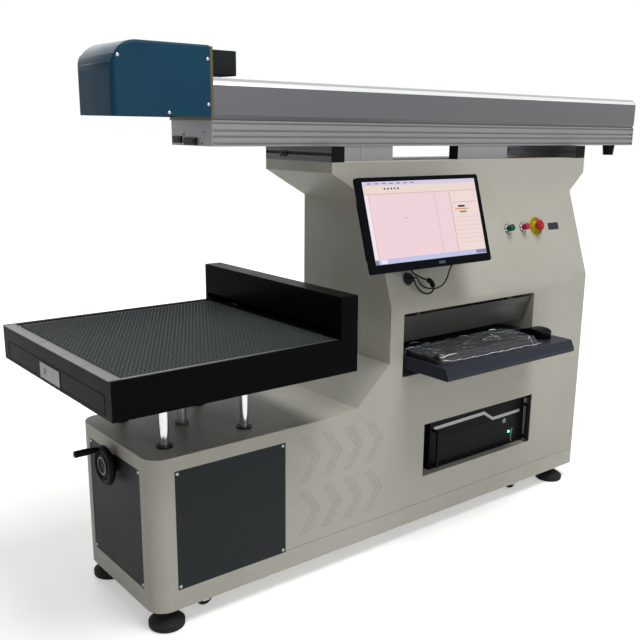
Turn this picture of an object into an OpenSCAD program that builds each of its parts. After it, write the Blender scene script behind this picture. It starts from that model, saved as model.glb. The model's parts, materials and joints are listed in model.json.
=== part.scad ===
/* [Cabinet] */
// Length of the cabinet, left to right
base_length = 1737; // [1650:1:1850]
// Depth of the cabinet, front to back
base_depth = 421; // [400:1:460]
// Height of the cabinet's underside above the floor
floor_gap = 56; // [50:1:80]
// Height of the deck above the cabinet's underside
deck_height = 420; // [400:1:460]
// Radius of the upright corners at the left
corner_r = 48; // [30:1:60]
// Radius of the upright corners at the right
right_corner_r = 6; // [4:1:12]
// Thickness of the sheet steel
sheet = 2.5; // [2:0.5:3]
// Height of the seam above the cabinet's underside
seam_rise = 57; // [40:1:70]
// Width and depth of the seam
seam_gap = 1.5; // [1:0.5:2]

/* [Column] */
// Left face of the column, from the cabinet's left end
column_x = 786; // [760:1:800]
// Height above the deck where the lower flare meets the column
flare_rise = 121; // [80:1:140]
// How far the steep part of the lower flare reaches left
flare_run = 124; // [80:1:140]
// Height above the deck where the steep part ends
flare_break = 8; // [6:1:20]
// How far the flat toe of the lower flare reaches left of that
toe_run = 121; // [60:1:150]
// Height of the upright front above the deck
front_rise = 291; // [285:1:300]
// Height of the sloping control face
slope_rise = 299; // [285:1:310]
// How far the control face leans back
slope_run = 100; // [80:1:120]
// Height of the header above the control face
header_rise = 113; // [100:1:130]
// How far the header flares out to the left, and over what height
header_flare_left = [148, 83]; // [60:1:160]
// How far the header flares out to the right, and over what height
header_flare_right = [72, 62]; // [40:1:90]

/* [Cover panels] */
// Width of the front panel
front_panel_w = 340; // [260:1:380]
// Left edge of the front panel, from the cabinet's left end
front_panel_x = 66; // [60:1:100]
// Width of the left panel
left_panel_w = 299; // [240:1:300]
// Height of the front and left panels
panel_h = 328; // [280:1:340]
// Lower edge of these panels above the cabinet's underside
panel_rise = 54; // [40:1:60]
// Thickness of a cover panel
panel_t = 2; // [1.5:0.5:2.5]
// How deep a panel's seat is pressed into the sheet
seat_depth = 3.5; // [3:0.5:5]
// Width of the flange behind a panel's edge
seat_lip = 16; // [14:1:24]
// Width of the rear service panel
rear_panel_w = 760; // [600:1:800]
// Height of the rear service panel
rear_panel_h = 760; // [600:1:800]
// Left edge of the rear service panel, from the column's left face
rear_panel_offset = 90; // [60:1:120]

/* [Keyboard recess] */
// Left edge of the recess, from the column's left face
recess_offset = 53; // [45:1:80]
// Width of the recess
recess_w = 606; // [600:1:640]
// Height of the recess
recess_h = 194; // [190:1:205]
// Floor of the recess above the deck
recess_rise = 71; // [60:1:80]
// Depth of the recess
recess_depth = 386; // [380:1:390]
// Clearance between the tray's edges and the recess walls
tray_gap = 6; // [5:1:8]
// Depth of the keyboard tray
tray_depth = 372; // [340:1:374]
// How far the tray stands out of the front
tray_reach = 179; // [170:0.5:185]
// Height of the folded edge of the tray
tray_edge = 37; // [34:0.5:40]
// Height of the tray's underside above the recess floor
tray_rise = 27; // [24:1:30]
// Drop of the flap's hinge below the recess ceiling
flap_drop = 6; // [6:1:10]
// Length of the flap
flap_length = 95; // [80:1:95]
// Angle of the flap from upright, at rest
flap_angle = 18.4; // [10:0.1:25]

/* [Computer] */
// Left edge of the window, from the column's left face
window_offset = 156; // [150:1:160]
// Width of the window
window_w = 530; // [520:1:540]
// Height of the window
window_h = 174; // [170:1:178]
// Lower edge of the window above the cabinet's underside
window_rise = 145; // [140:1:150]
// Width, depth and height of the rack computer
pc_size = [484, 360, 174]; // [170:1:500]
// Left side of the computer, from the window's left edge
pc_offset = 58; // [50:1:64]
// Distance of the computer's face behind the sheet
pc_setback = 31; // [26:1:35]

/* [Lifting table] */
// Centre of the lifting screw, from the cabinet's left end
lift_x = 206; // [200:1:220]
// Width of the table, left to right
table_w = 694; // [650:1:700]
// Depth of the table, front to back
table_d = 679; // [640:1:700]
// Height of the table's frame
table_h = 93; // [88:1:100]
// How far the table's centre stands left of the lifting screw
table_shift = 6; // [0:1:10]
// Height of the table's underside above the deck
table_lift = 171; // [160:1:190]
// Wall of the table's frame
table_wall = 6; // [4:1:8]
// Spacing of the guide rods, left to right and front to back
rod_spacing = [242, 254]; // [200:1:280]
// Diameter of a guide rod
rod_d = 24; // [20:1:25]
// Length of a guide rod
rod_length = 400; // [380:1:420]
// Diameter of the lifting screw
screw_d = 26; // [22:1:28]
// Length of the lifting screw
screw_length = 420; // [400:1:440]
// Width of the suction box beside the worktop
suction_w = 56; // [50:1:60]
// Height of the suction box above the worktop
suction_h = 112; // [100:1:120]
// Thickness of the honeycomb panel
honeycomb_t = 10; // [8:1:12]
// Width of the aluminium strips along the worktop's edges
strip_w = 22; // [18:1:24]

/* [Waste drawer] */
// Width and height of the drawer's front
drawer_front = [610, 49]; // [45:1:640]
// Length of the drawer
drawer_length = 560; // [500:10:580]
// Height of the drawer's lower edge above the table's underside
drawer_rise = 7; // [7:1:12]

/* [Handwheel] */
// Outer diameter of the handwheel's rim
wheel_d = 108; // [100:1:112]
// Thickness of the rim
rim_d = 18; // [14:1:20]
// Distance of the rim's middle from the cabinet's left end
wheel_reach = 24; // [20:1:30]
// Height of the handwheel's shaft below the deck
shaft_drop = 66; // [62:1:72]
// Diameter of the handwheel's shaft
shaft_d = 14; // [12:1:16]
// Length of the crank grip
grip_length = 62; // [50:1:70]

/* [Beam and head] */
// Height and width of the two rails on the header
rail_size = [45, 43]; // [40:1:50]
// Left end of the beam, from the cabinet's left end
beam_x = 292; // [280:1:300]
// Length of the beam
beam_length = 1906; // [1850:1:1950]
// Width of the beam
beam_w = 211; // [200:1:215]
// Front face of the beam behind the cabinet's front
beam_y = 157; // [150:1:165]
// Height of the slotted lower profile
profile_h = 65.5; // [60:0.5:70]
// Height of the upper housing
housing_h = 104.5; // [98:0.5:110]
// Wall of both beam sections
beam_wall = 4; // [3:0.5:5]
// Length of the head's cover
cover_length = 265.5; // [250:0.5:270]
// Depth of the head's cover, front to back
cover_w = 201; // [190:1:205]
// Front face of the cover ahead of the beam's
cover_step = 8; // [5:1:12]
// Height of the head's cover
cover_h = 173; // [165:1:180]
// Height of the cover's lower edge above the beam's underside
cover_rise = 73; // [68:1:78]
// Radius over the cover's outer end
cover_round = 70; // [50:1:80]
// Radius of the cover's upright edges
cover_edge_r = 15; // [10:1:20]
// Wall of the cover
cover_wall = 3; // [2:0.5:4]
// Thickness of the flange between head and beam
flange_t = 8; // [6:1:10]

/* [Monitor] */
// Width, height and edge thickness of the monitor
monitor_size = [486, 264, 9]; // [8:1:500]
// Left edge of the monitor, from the column's left face, negative when beyond it
monitor_offset = -156; // [-165:1:-140]
// Distance of the monitor's lower edge ahead of the cabinet's front
monitor_reach = 84; // [80:1:90]
// Height of the monitor's lower edge above the deck
monitor_rise = 414; // [405:1:425]
// Backward tilt of the monitor
monitor_tilt = 17.1; // [14:0.1:19]
// Depth of the monitor's back housing behind its edge
monitor_bulge = 41; // [36:1:44]
// Margins of the screen: left, right, bottom, top
screen_margins = [22.5, 15.5, 24, 12]; // [8:0.5:30]

/* [Controls] */
// Distances of green button, red button and stop button from the column's left face
button_offsets = [577, 654, 722]; // [560:1:740]
// Height of the button row above the deck
button_rise = 479; // [465:1:485]
// Diameter of a push button's bezel
button_d = 30; // [28:1:34]
// Diameter of the stop button's collar
collar_d = 64; // [58:1:66]
// Diameter of the stop button's mushroom
mushroom_d = 38; // [36:1:42]
// Distance of the cable gland from the column's left face
gland_offset = 83; // [80:1:90]
// Height of the cable gland above the deck
gland_rise = 364; // [360:1:368]

/* [Feet and castors] */
// Diameter of a levelling foot's pad
pad_d = 96; // [90:1:100]
// Centre of the left feet from the left end, and of all feet from front and back
foot_inset = [50, 40]; // [36:1:70]
// Centre of the right feet from the right end
foot_inset_right = 78; // [70:1:90]
// Diameter of a castor wheel
castor_d = 50; // [46:1:50]
// Centres of the castors from the cabinet's left end
castor_x = [161, 1450]; // [140:1:1500]
// Castor centres from the cabinet's front and back
castor_inset = 66; // [60:1:80]
// Trail of the castor wheel behind its swivel
castor_trail = 16; // [12:1:20]
// How far the castor wheels stand clear of the floor
castor_clear = 2; // [1:0.5:3]

/* [Hidden] */
$fn = 48;

// Clearances: between moving faces, between a shaft and its bore, and between seated pieces
slip = 0.3;
running = 0.05;
hole_gap = 0.3;

// Colours
body_grey = "#c9c9c0";
panel_grey = "#3a3d3e";
satin_black = "#1b1c1e";
rubber_black = "#222222";
aluminium = "#b4b6b8";
steel = "#9a9da0";
head_blue = "#25485f";
olive = "#6e6a48";

// Heights above the floor
deck_z = floor_gap + deck_height;
slope_z0 = deck_z + front_rise;
slope_z1 = slope_z0 + slope_rise;
header_z = slope_z1 + header_rise;
slope_angle = atan(slope_run / slope_rise);
beam_z = header_z + rail_size[1];
housing_z = beam_z + profile_h;
panel_z = floor_gap + panel_rise;
table_z = deck_z + table_lift;
work_z = table_z + table_h;
recess_z = deck_z + recess_rise;
tray_z = recess_z + tray_rise;
shaft_z = deck_z - shaft_drop;
cover_z = beam_z + cover_rise;
window_z = floor_gap + window_rise;

// Places along x and y
mid_y = base_depth / 2;
table_x = lift_x - table_shift - table_w / 2;
table_y = mid_y - table_d / 2;
header_x0 = column_x - header_flare_left[0];
header_x1 = base_length + header_flare_right[0];
recess_x = column_x + recess_offset;
window_x = column_x + window_offset;
pc_x = window_x + pc_offset;
monitor_x = column_x + monitor_offset;
beam_x1 = beam_x + beam_length;
cover_x = beam_x - flange_t - cover_length;
cover_y = beam_y - cover_step;
left_panel_y = mid_y + left_panel_w / 2;
rear_panel_x = column_x + rear_panel_offset;
rear_panel_z = floor_gap + panel_rise;
seam_x = front_panel_x + front_panel_w;

// The part's origin is on the floor, below the middle of its outline
mid_x = (table_x + beam_x1) / 2;
outline_y = (table_y + table_d - tray_reach) / 2;

module place() translate([-mid_x, -outline_y, 0]) children();

// Extrusions of a (y, z) outline along x, and of an (x, z) outline along y
module along_x(length) rotate([90, 0, 90]) linear_extrude(length) children();
module along_y(length) translate([0, length, 0]) rotate([90, 0, 0]) linear_extrude(length) children();
module rod_x(r, length) rotate([0, 90, 0]) cylinder(r = r, h = length);
module rod_y(r, length) rotate([-90, 0, 0]) cylinder(r = r, h = length);

// What a round corner of radius r takes off a square corner at the origin
module corner_off(r) difference() {
    translate([-1, -1]) square(r + 1);
    translate([r, r]) circle(r);
}

// Rectangle with round corners, of another radius at its right where one is given
module rounded_rect(w, h, r, right_r) {
    far_r = is_undef(right_r) ? r : right_r;
    difference() {
        square([w, h]);
        corner_off(r);
        translate([w, 0]) rotate(90) corner_off(far_r);
        translate([w, h]) rotate(180) corner_off(far_r);
        translate([0, h]) rotate(-90) corner_off(r);
    }
}

// Cover panels lie in seats: x runs along the width, y up, z out of the cabinet
module on_front(x, z) translate([x, 0, z]) rotate([90, 0, 0]) children();
module on_left(y, z) translate([0, y, z]) rotate([90, 0, -90]) children();
module on_rear(x, z) translate([x, base_depth, z]) rotate([90, 0, 180]) children();
module on_front_panel() on_front(front_panel_x, panel_z) children();
module on_left_panel() on_left(left_panel_y, panel_z) children();
module on_rear_panel() on_rear(rear_panel_x + rear_panel_w, rear_panel_z) children();
// Control face: z points out of it, y up along it
module on_slope(x, z)
    translate([x, (z - slope_z0) * slope_run / slope_rise, z]) rotate([90 - slope_angle, 0, 0]) children();

screw_inset = 8;
screw_r = 2.4;
screw_head_r = 4.5;

module at_screws(w, h)
    for (x = [screw_inset, w - screw_inset], y = [screw_inset, h - screw_inset])
        translate([x, y, panel_t - seat_depth]) children();

// The metal kept behind a panel, and what its seat takes away
module seat_block(w, h)
    translate([-seat_lip, -seat_lip, -seat_depth - sheet])
        cube([w + 2 * seat_lip, h + 2 * seat_lip, seat_depth + sheet]);

module seat_cut(w, h) {
    translate([-slip, -slip, -seat_depth]) cube([w + 2 * slip, h + 2 * slip, seat_depth + 1]);
    translate([seat_lip, seat_lip, -seat_depth - sheet - 1])
        cube([w - 2 * seat_lip, h - 2 * seat_lip, sheet + 2]);
    at_screws(w, h) translate([0, 0, -panel_t - sheet - 1]) cylinder(r = screw_r + hole_gap, h = sheet + 2);
}

module panel_plate(w, h) difference() {
    translate([0, 0, -seat_depth]) cube([w, h, panel_t]);
    at_screws(w, h) translate([0, 0, -panel_t - 1]) cylinder(r = screw_r + hole_gap, h = panel_t + 2);
}

module panel_screw() {
    rotate_extrude() polygon([[0, 0], [screw_head_r, 0], [screw_head_r, 0.8], [3.2, 2.2], [0, 2.6]]);
    translate([0, 0, -panel_t - sheet - 2]) cylinder(r = screw_r, h = panel_t + sheet + 2);
}

// ---- Machine body: one welded sheet-metal shell ----

// Cabinet block, set in by a wall thickness on every side
module cabinet_form(inset)
    translate([inset, inset, floor_gap + inset]) linear_extrude(deck_height - 2 * inset)
        rounded_rect(
            base_length - 2 * inset, base_depth - 2 * inset, corner_r - inset, right_corner_r - inset
        );

module column_front(inset, foot_z) polygon([
    [column_x - flare_run - toe_run + inset, foot_z],
    [column_x - flare_run - toe_run + inset, deck_z - inset + 0.01],
    [column_x - flare_run + inset, deck_z + flare_break - inset],
    [column_x + inset, deck_z + flare_rise],
    [column_x + inset, slope_z1],
    [header_x0 + inset, slope_z1 + header_flare_left[1]],
    [header_x0 + inset, header_z - inset],
    [header_x1 - inset, header_z - inset],
    [header_x1 - inset, slope_z1 + header_flare_right[1]],
    [base_length - inset, slope_z1],
    [base_length - inset, foot_z]
]);

module column_side(inset, foot_z) polygon([
    [inset, foot_z],
    [inset, slope_z0],
    [slope_run + inset, slope_z1],
    [slope_run + inset, header_z - inset],
    [base_depth - inset, header_z - inset],
    [base_depth - inset, foot_z]
]);

// Column, flared at its foot and its header, standing on or reaching into the cabinet
module column_form(inset, foot_z) difference() {
    intersection() {
        translate([0, inset, 0]) along_y(base_depth - 2 * inset) column_front(inset, foot_z);
        translate([header_x0, 0, 0]) along_x(header_x1 - header_x0) column_side(inset, foot_z);
        translate([0, 0, foot_z]) cube([header_x1, base_depth, header_z - foot_z]);
    }
    for (turn = [[inset, 90], [base_depth - inset, 180]])
        translate([base_length - inset, turn[0], foot_z - 1]) rotate(turn[1])
            linear_extrude(slope_z1 - foot_z + 1) corner_off(right_corner_r - inset);
}

module toe_form(inset, foot_z)
    translate([0, inset, 0]) along_y(base_depth - 2 * inset) intersection() {
        column_front(inset, foot_z);
        translate([0, foot_z]) square([header_x0 + 1, flare_rise + deck_z - foot_z]);
    }

// Hollow inside, less what is welded behind the sheet
module body_hollow() difference() {
    union() {
        cabinet_form(sheet);
        column_form(sheet, deck_z - 2 * sheet);
        toe_form(sheet, deck_z - 2 * sheet);
    }
    on_front_panel() seat_block(front_panel_w, panel_h);
    on_left_panel() seat_block(left_panel_w, panel_h);
    on_rear_panel() seat_block(rear_panel_w, rear_panel_h);
    translate([recess_x - sheet, 0, recess_z - sheet])
        cube([recess_w + 2 * sheet, recess_depth + sheet, recess_h + 2 * sheet]);
    translate([window_x - sheet, 0, pc_shelf_z - sheet]) cube([pc_shelf_w, base_depth, sheet]);
    at_castors() castor_box(sheet);
}

module castor_box(wall) translate([-castor_well / 2 - wall, -castor_well / 2 - wall, 0])
    cube([castor_well + 2 * wall, castor_well + 2 * wall, castor_top + wall]);

pc_shelf_z = window_z - 3;
pc_shelf_w = 640;
// Bores of the deck: guide bushings and lifting screw
bushing_d = rod_d + 10;
nut_d = screw_d + 12;

module at_rods()
    for (x = [-0.5, 0.5], y = [-0.5, 0.5])
        translate([lift_x + x * rod_spacing[0], mid_y + y * rod_spacing[1], 0]) children();

module machine_body() color(body_grey) place() difference() {
    union() {
        cabinet_form(0);
        column_form(0, deck_z - sheet / 2);
        toe_form(0, deck_z - sheet / 2);
    }
    body_hollow();
    on_front_panel() seat_cut(front_panel_w, panel_h);
    on_left_panel() seat_cut(left_panel_w, panel_h);
    on_rear_panel() seat_cut(rear_panel_w, rear_panel_h);
    translate([recess_x, -1, recess_z]) cube([recess_w, recess_depth + 1, recess_h]);
    translate([window_x, -1, window_z]) cube([window_w, sheet + 2, window_h]);
    translate([seam_x, -1, floor_gap + seam_rise])
        cube([base_length - right_corner_r - seam_x, 1 + seam_gap, seam_gap]);
    at_rods() translate([0, 0, deck_z - sheet - 1]) cylinder(d = bushing_d + 2 * slip, h = sheet + 2);
    translate([lift_x, mid_y, deck_z - sheet - 1]) cylinder(d = nut_d + 2 * slip, h = sheet + 2);
    for (i = [0:2]) on_button(i) translate([0, 0, -4]) cylinder(r = button_barrel_r + slip, h = 8);
    on_slope(column_x + gland_offset, deck_z + gland_rise) translate([0, 0, -4])
        cylinder(r = gland_neck_r + slip, h = 8);
    translate([-1, mid_y, shaft_z]) rod_x(shaft_bush_r + slip, seat_depth + sheet + 2);
    at_feet() translate([0, 0, floor_gap - 1]) cylinder(r = stud_r + hole_gap, h = sheet + 2);
    at_castors() castor_box(0);
}

module front_panel() color(panel_grey) place() on_front_panel() panel_plate(front_panel_w, panel_h);

module left_panel() color(panel_grey) place() difference() {
    on_left_panel() panel_plate(left_panel_w, panel_h);
    translate([-1, mid_y, shaft_z]) rod_x(shaft_bush_r + slip, seat_depth + sheet + 2);
}

louvre_size = [150, 4];
louvre_pitch_x = 190;
louvre_z = 70;
louvre_pitch = 14;
louvre_rows = 8;
louvre_columns = 3;

// Service panel with ventilation slots
module rear_panel() color(body_grey) place() on_rear_panel() difference() {
    panel_plate(rear_panel_w, rear_panel_h);
    for (column = [-1:louvre_columns - 2], row = [0:louvre_rows - 1])
        translate([rear_panel_w / 2 + column * louvre_pitch_x - louvre_size[0] / 2,
            louvre_z + row * louvre_pitch, -seat_depth - 1])
            cube([louvre_size[0], louvre_size[1], panel_t + 2]);
}

module panel_screws() color("silver") place() {
    on_front_panel() at_screws(front_panel_w, panel_h) panel_screw();
    on_left_panel() at_screws(left_panel_w, panel_h) panel_screw();
    on_rear_panel() at_screws(rear_panel_w, rear_panel_h) panel_screw();
}

// ---- Lift ----

bushing_flange = [21, 4];
bushing_h = 60;
shaft_bush_r = 15;
shaft_flange_t = 5;
// Outer face of a seated panel, behind the sheet around it
panel_face = seat_depth - panel_t;

// Flanged guide bushings on the deck, and the shaft's bearing in the left panel
module bushings() color(rubber_black) place() {
    at_rods() difference() {
        union() {
            translate([0, 0, deck_z]) cylinder(r = bushing_flange[0], h = bushing_flange[1]);
            translate([0, 0, deck_z - bushing_h]) cylinder(d = bushing_d, h = bushing_h);
        }
        translate([0, 0, deck_z - bushing_h - 1])
            cylinder(r = rod_d / 2 + running, h = bushing_h + bushing_flange[1] + 2);
    }
    translate([panel_face, mid_y, shaft_z]) difference() {
        union() {
            translate([-shaft_flange_t, 0, 0]) rod_x(shaft_bush_r + 6, shaft_flange_t);
            translate([-1, 0, 0]) rod_x(shaft_bush_r, 26);
        }
        translate([-10, 0, 0]) rod_x(shaft_d / 2 + running, 40);
    }
}

gearbox_size = [112, 100, 96];
gearbox_flange = [150, 140, 8];

// Screw jack under the deck: bevel gear housing with a flange bolted to the deck
gearbox_hub = [22, 18];
nut_rise = 8;

module lift_gearbox() color(steel) place() translate([lift_x, mid_y, deck_z - sheet]) difference() {
    union() {
        translate([-gearbox_flange[0] / 2, -gearbox_flange[1] / 2, -gearbox_flange[2]]) cube(gearbox_flange);
        translate([-gearbox_size[0] / 2, -gearbox_size[1] / 2, -gearbox_flange[2] - gearbox_size[2]])
            cube(gearbox_size);
        translate([-gearbox_size[0] / 2 - gearbox_hub[1], 0, sheet - shaft_drop])
            rod_x(gearbox_hub[0], gearbox_hub[1] + 1);
        translate([0, 0, -1]) cylinder(d = nut_d, h = sheet + nut_rise + 1);
    }
    translate([0, 0, -gearbox_flange[2] - gearbox_size[2] - 1])
        cylinder(r = screw_d / 2 + running, h = 2 * gearbox_size[2]);
    translate([-gearbox_size[0] / 2 - gearbox_hub[1] - 1, 0, sheet - shaft_drop])
        rod_x(shaft_d / 2 + running, gearbox_size[0] / 2);
}

module guide_rods() color("silver") place() at_rods()
    translate([0, 0, table_z - rod_length]) cylinder(d = rod_d, h = rod_length);

// Lifting screw with its top flange under the table
module lift_screw() color("#4a4c4e") place() translate([lift_x, mid_y, 0]) {
    translate([0, 0, table_z - screw_length]) cylinder(d = screw_d, h = screw_length);
    translate([0, 0, table_z - 8]) cylinder(d = screw_d + 26, h = 8);
}

// Open box that carries the honeycomb and holds the waste drawer
module table_frame() color(satin_black) place() difference() {
    translate([table_x, table_y, table_z]) cube([table_w, table_d, table_h]);
    translate([drawer_x - 1, drawer_y - slip, drawer_z - slip])
        cube([drawer_length + 1 + slip, drawer_front[0] + 2 * slip, drawer_front[1] + 2 * slip]);
    translate([worktop_x + 10, worktop_y + 10, drawer_z + drawer_front[1]])
        cube([worktop_w - 20, worktop_d - 20, table_h]);
    translate([worktop_x, worktop_y, work_z - honeycomb_t])
        cube([worktop_w, worktop_d, honeycomb_t + 1]);
    translate([table_x - 1, table_y + edge_margin, work_z - strip_t])
        cube([1 + edge_margin + strip_w, table_d - 2 * edge_margin, strip_t + 1]);
    translate([worktop_x - 1, worktop_y - front_strip_w, work_z - strip_t])
        cube([worktop_w, front_strip_w + 1, strip_t + 1]);
}

drawer_x = table_x;
drawer_y = mid_y - drawer_front[0] / 2;
drawer_z = table_z + drawer_rise;
edge_margin = 8;
strip_t = 2;
front_strip_w = 10;
worktop_x = table_x + edge_margin + strip_w;
worktop_y = table_y + 16;
worktop_w = table_w - edge_margin - strip_w - suction_w - 1;
worktop_d = table_d - 32;

module honeycomb() color("#39403f") place()
    translate([worktop_x + slip, worktop_y + slip, work_z - honeycomb_t])
        cube([worktop_w - 2 * slip, worktop_d - 2 * slip, honeycomb_t - 1]);

// Ruler strip down the left edge, and a narrow strip along the front edge
module edge_strips() color(aluminium) place() {
    translate([table_x, table_y + edge_margin + slip, work_z - strip_t])
        cube([edge_margin + strip_w - slip, table_d - 2 * (edge_margin + slip), strip_t]);
    translate([worktop_x, worktop_y - front_strip_w + slip, work_z - strip_t])
        cube([worktop_w - 2, front_strip_w - 2 * slip, strip_t]);
}

// Hollow suction box with an intake slot over the worktop and a hose spigot behind
suction_wall = 3;
spigot = [38, 30];
spigot_z = work_z + suction_h / 2 - 8;

module suction_box() color(satin_black) place() difference() {
    union() {
        translate([suction_x, table_y, work_z]) cube([suction_w, table_d, suction_h]);
        translate([suction_x + suction_w - 1, spigot_y, spigot_z]) rod_x(spigot[0], spigot[1]);
    }
    translate([suction_x + suction_wall, table_y + suction_wall, work_z + suction_wall])
        cube([suction_w - 2 * suction_wall, table_d - 2 * suction_wall, suction_h - 2 * suction_wall]);
    translate([suction_x - 1, worktop_y, work_z + 8]) cube([suction_wall + 2, worktop_d, 14]);
    translate([suction_x + suction_w - suction_wall - 1, spigot_y, spigot_z])
        rod_x(spigot[0] - suction_wall, spigot[1] + 10);
}

suction_x = table_x + table_w - suction_w;
spigot_y = table_y + table_d - 64;

// Waste drawer: open pan with a thick front
drawer_front_t = 14;
drawer_wall = 2;

module waste_drawer() color(satin_black) place() translate([drawer_x, drawer_y, drawer_z]) difference() {
    along_x(drawer_length) rounded_rect(drawer_front[0], drawer_front[1], 8);
    translate([drawer_front_t, drawer_wall, drawer_wall]) cube([
        drawer_length - drawer_front_t - drawer_wall,
        drawer_front[0] - 2 * drawer_wall,
        drawer_front[1]
    ]);
}

// Handwheel on its shaft, with three spokes between hub and rim
grip_r = 9;
crank_r = wheel_d / 2 - rim_d / 2;

module handwheel() color(rubber_black) place() translate([-wheel_reach, mid_y, shaft_z]) {
    rotate([0, 90, 0]) difference() {
        union() {
            rotate_extrude() translate([crank_r, 0]) circle(d = rim_d);
            translate([0, 0, -7]) cylinder(r = 19, h = 18);
            for (turn = [0:120:240]) rotate(turn) translate([0, -7, -4]) cube([crank_r, 14, 8]);
        }
        rotate(crank_turn) translate([crank_r, 0, -rim_d]) cylinder(r = pin_r + running, h = 2 * rim_d);
    }
    rod_x(shaft_d / 2, wheel_reach + lift_x - 30);
}

crank_turn = 150;
pin_r = 4;

// Crank grip with its own spindle, turning in the rim
module crank_grip() color(satin_black) place()
    translate([-wheel_reach, mid_y, shaft_z]) rotate([0, 90, 0]) rotate(crank_turn)
    translate([crank_r, 0, 0]) {
        translate([0, 0, -rim_d / 2]) cylinder(r = pin_r, h = rim_d);
        translate([0, 0, -rim_d / 2 - slip - grip_length]) rotate_extrude() polygon([
            [0, 0], [grip_r - 1.5, 0], [grip_r, 1.5],
            [grip_r, grip_length * 0.6], [grip_r - 2, grip_length], [0, grip_length]
        ]);
        translate([0, 0, -rim_d / 2 - slip - 1]) cylinder(r = pin_r, h = slip + 2);
    }

// ---- Feet and castors ----

stud_r = 8;
stud_foot = 12;
stud_reach = 22;
nut_h = 12;
pad_h = 36;

module at_feet()
    for (x = [foot_inset[0], base_length - foot_inset_right], y = [foot_inset[1], base_depth - foot_inset[1]])
        translate([x, y, 0]) children();

pad_rim_h = 16;
pad_edge_r = 6;
// Radius of the arc over a pad, from its rim to its crown
pad_dome_r = (pow(pad_d / 2, 2) + pow(pad_h - pad_rim_h, 2)) / (2 * (pad_h - pad_rim_h));

module levelling_pads() color(rubber_black) place() at_feet() difference() {
    rotate_extrude() difference() {
        intersection() {
            square([pad_d / 2, pad_h]);
            translate([0, pad_h - pad_dome_r]) circle(r = pad_dome_r, $fn = 96);
        }
        translate([pad_d / 2, 0]) rotate(90) corner_off(pad_edge_r);
    }
    translate([0, 0, stud_foot]) cylinder(r = stud_r + slip, h = pad_h);
}

module levelling_studs() color("silver") place() at_feet() {
    translate([0, 0, stud_foot]) cylinder(r = stud_r, h = floor_gap + stud_reach - stud_foot);
    translate([0, 0, floor_gap - nut_h]) cylinder(r = 13, h = nut_h, $fn = 6);
}

castor_names = ["fl", "fr", "bl", "br"];
axle_z = castor_d / 2 + castor_clear;
castor_plate_t = 3;
axle_r = 4;
castor_w = 20;
// The castors hang in wells under the cabinet, wide enough for the wheels to swivel
castor_well = 2 * (castor_trail + castor_d / 2 + 8);
castor_top = axle_z + castor_d / 2 + 20;
fork_z = castor_top - castor_plate_t - 5;

function castor_y(back) = back ? base_depth - castor_inset : castor_inset;

module at_castor(i) translate([castor_x[i % 2], castor_y(i > 1), 0]) children();
module at_castors() for (i = [0:3]) at_castor(i) children();

module castor_plates() color("silver") place() at_castors() {
    translate([-27, -27, castor_top - castor_plate_t]) cube([54, 54, castor_plate_t]);
    translate([0, 0, fork_z]) cylinder(r = 9, h = castor_top - fork_z - 1);
}

// Swivelling fork with its axle
fork_t = 2.5;
fork_crown = [19, 5];
fork_foot = 9;

module castor_fork(i) color("silver") place() at_castor(i) {
    translate([0, 0, fork_z - slip - fork_crown[1]]) cylinder(r = fork_crown[0], h = fork_crown[1]);
    for (side = [-1, 1]) translate([0, side * (castor_w + 3 * fork_t) / 2 - fork_t / 2, 0])
        along_y(fork_t) polygon([
            [3 - fork_foot, fork_z - fork_crown[1]], [castor_trail - fork_foot, axle_z - fork_foot],
            [castor_trail + fork_foot, axle_z - fork_foot], [3 + fork_foot, fork_z - fork_crown[1]]
        ]);
    translate([castor_trail, -castor_w / 2 - 2 * fork_t, axle_z]) rod_y(axle_r, castor_w + 4 * fork_t);
}

module castor_wheel(i) color(rubber_black) place() at_castor(i)
    translate([castor_trail, -castor_w / 2, axle_z]) difference() {
        rotate([-90, 0, 0]) rotate_extrude() polygon([
            [0, 2], [15, 2], [16, 0.4], [castor_d / 2 - 3, 0.4], [castor_d / 2, 4],
            [castor_d / 2, castor_w - 4], [castor_d / 2 - 3, castor_w - 0.4], [16, castor_w - 0.4],
            [15, castor_w - 2], [0, castor_w - 2]
        ]);
        translate([0, -1, 0]) rod_y(axle_r + running, castor_w + 2);
    }

module castor_fork_fl() castor_fork(0);
module castor_fork_fr() castor_fork(1);
module castor_fork_bl() castor_fork(2);
module castor_fork_br() castor_fork(3);
module castor_wheel_fl() castor_wheel(0);
module castor_wheel_fr() castor_wheel(1);
module castor_wheel_bl() castor_wheel(2);
module castor_wheel_br() castor_wheel(3);

// ---- Beam ----

rail_xs = [header_x0, header_x1 - rail_size[0]];
rail_length = base_depth - slope_run;

// Grooved section of a gantry rail, (x, z)
module rail_section() difference() {
    square(rail_size);
    translate([rail_size[0] / 2 - 5, rail_size[1] - 7]) square([10, 8]);
    translate([rail_size[0] / 2 - 8, rail_size[1] - 11]) square([16, 5]);
    translate([-1, rail_size[1] / 2 - 4]) square([6, 8]);
    translate([rail_size[0] - 5, rail_size[1] / 2 - 4]) square([6, 8]);
}

module gantry_rails() color(aluminium) place() for (x = rail_xs)
    translate([x, slope_run + cap_t, header_z]) along_y(rail_length - 2 * cap_t) rail_section();

cap_t = 3;

module rail_caps() color(satin_black) place() for (x = rail_xs, y = [slope_run, base_depth - cap_t])
    translate([x, y, header_z]) along_y(cap_t) rounded_rect(rail_size[0], rail_size[1], 3);

// Clamp plates between header and beam, under the beam's front: offset from the left rail, width
support_spans = [[1, 109], [110.3, 128], [525, 243]];
support_depth = 40;

module beam_supports() color(aluminium) place() for (span = support_spans)
    translate([rail_xs[0] + rail_size[0] + span[0], beam_y + 2, header_z])
        cube([span[1], support_depth, rail_size[1]]);

// Slotted lower profile: T-slots along both flanks, two hollow chambers
slot_heights = [7.5, 25, 40, 58.5];
slot_mouth = 5;

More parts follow.
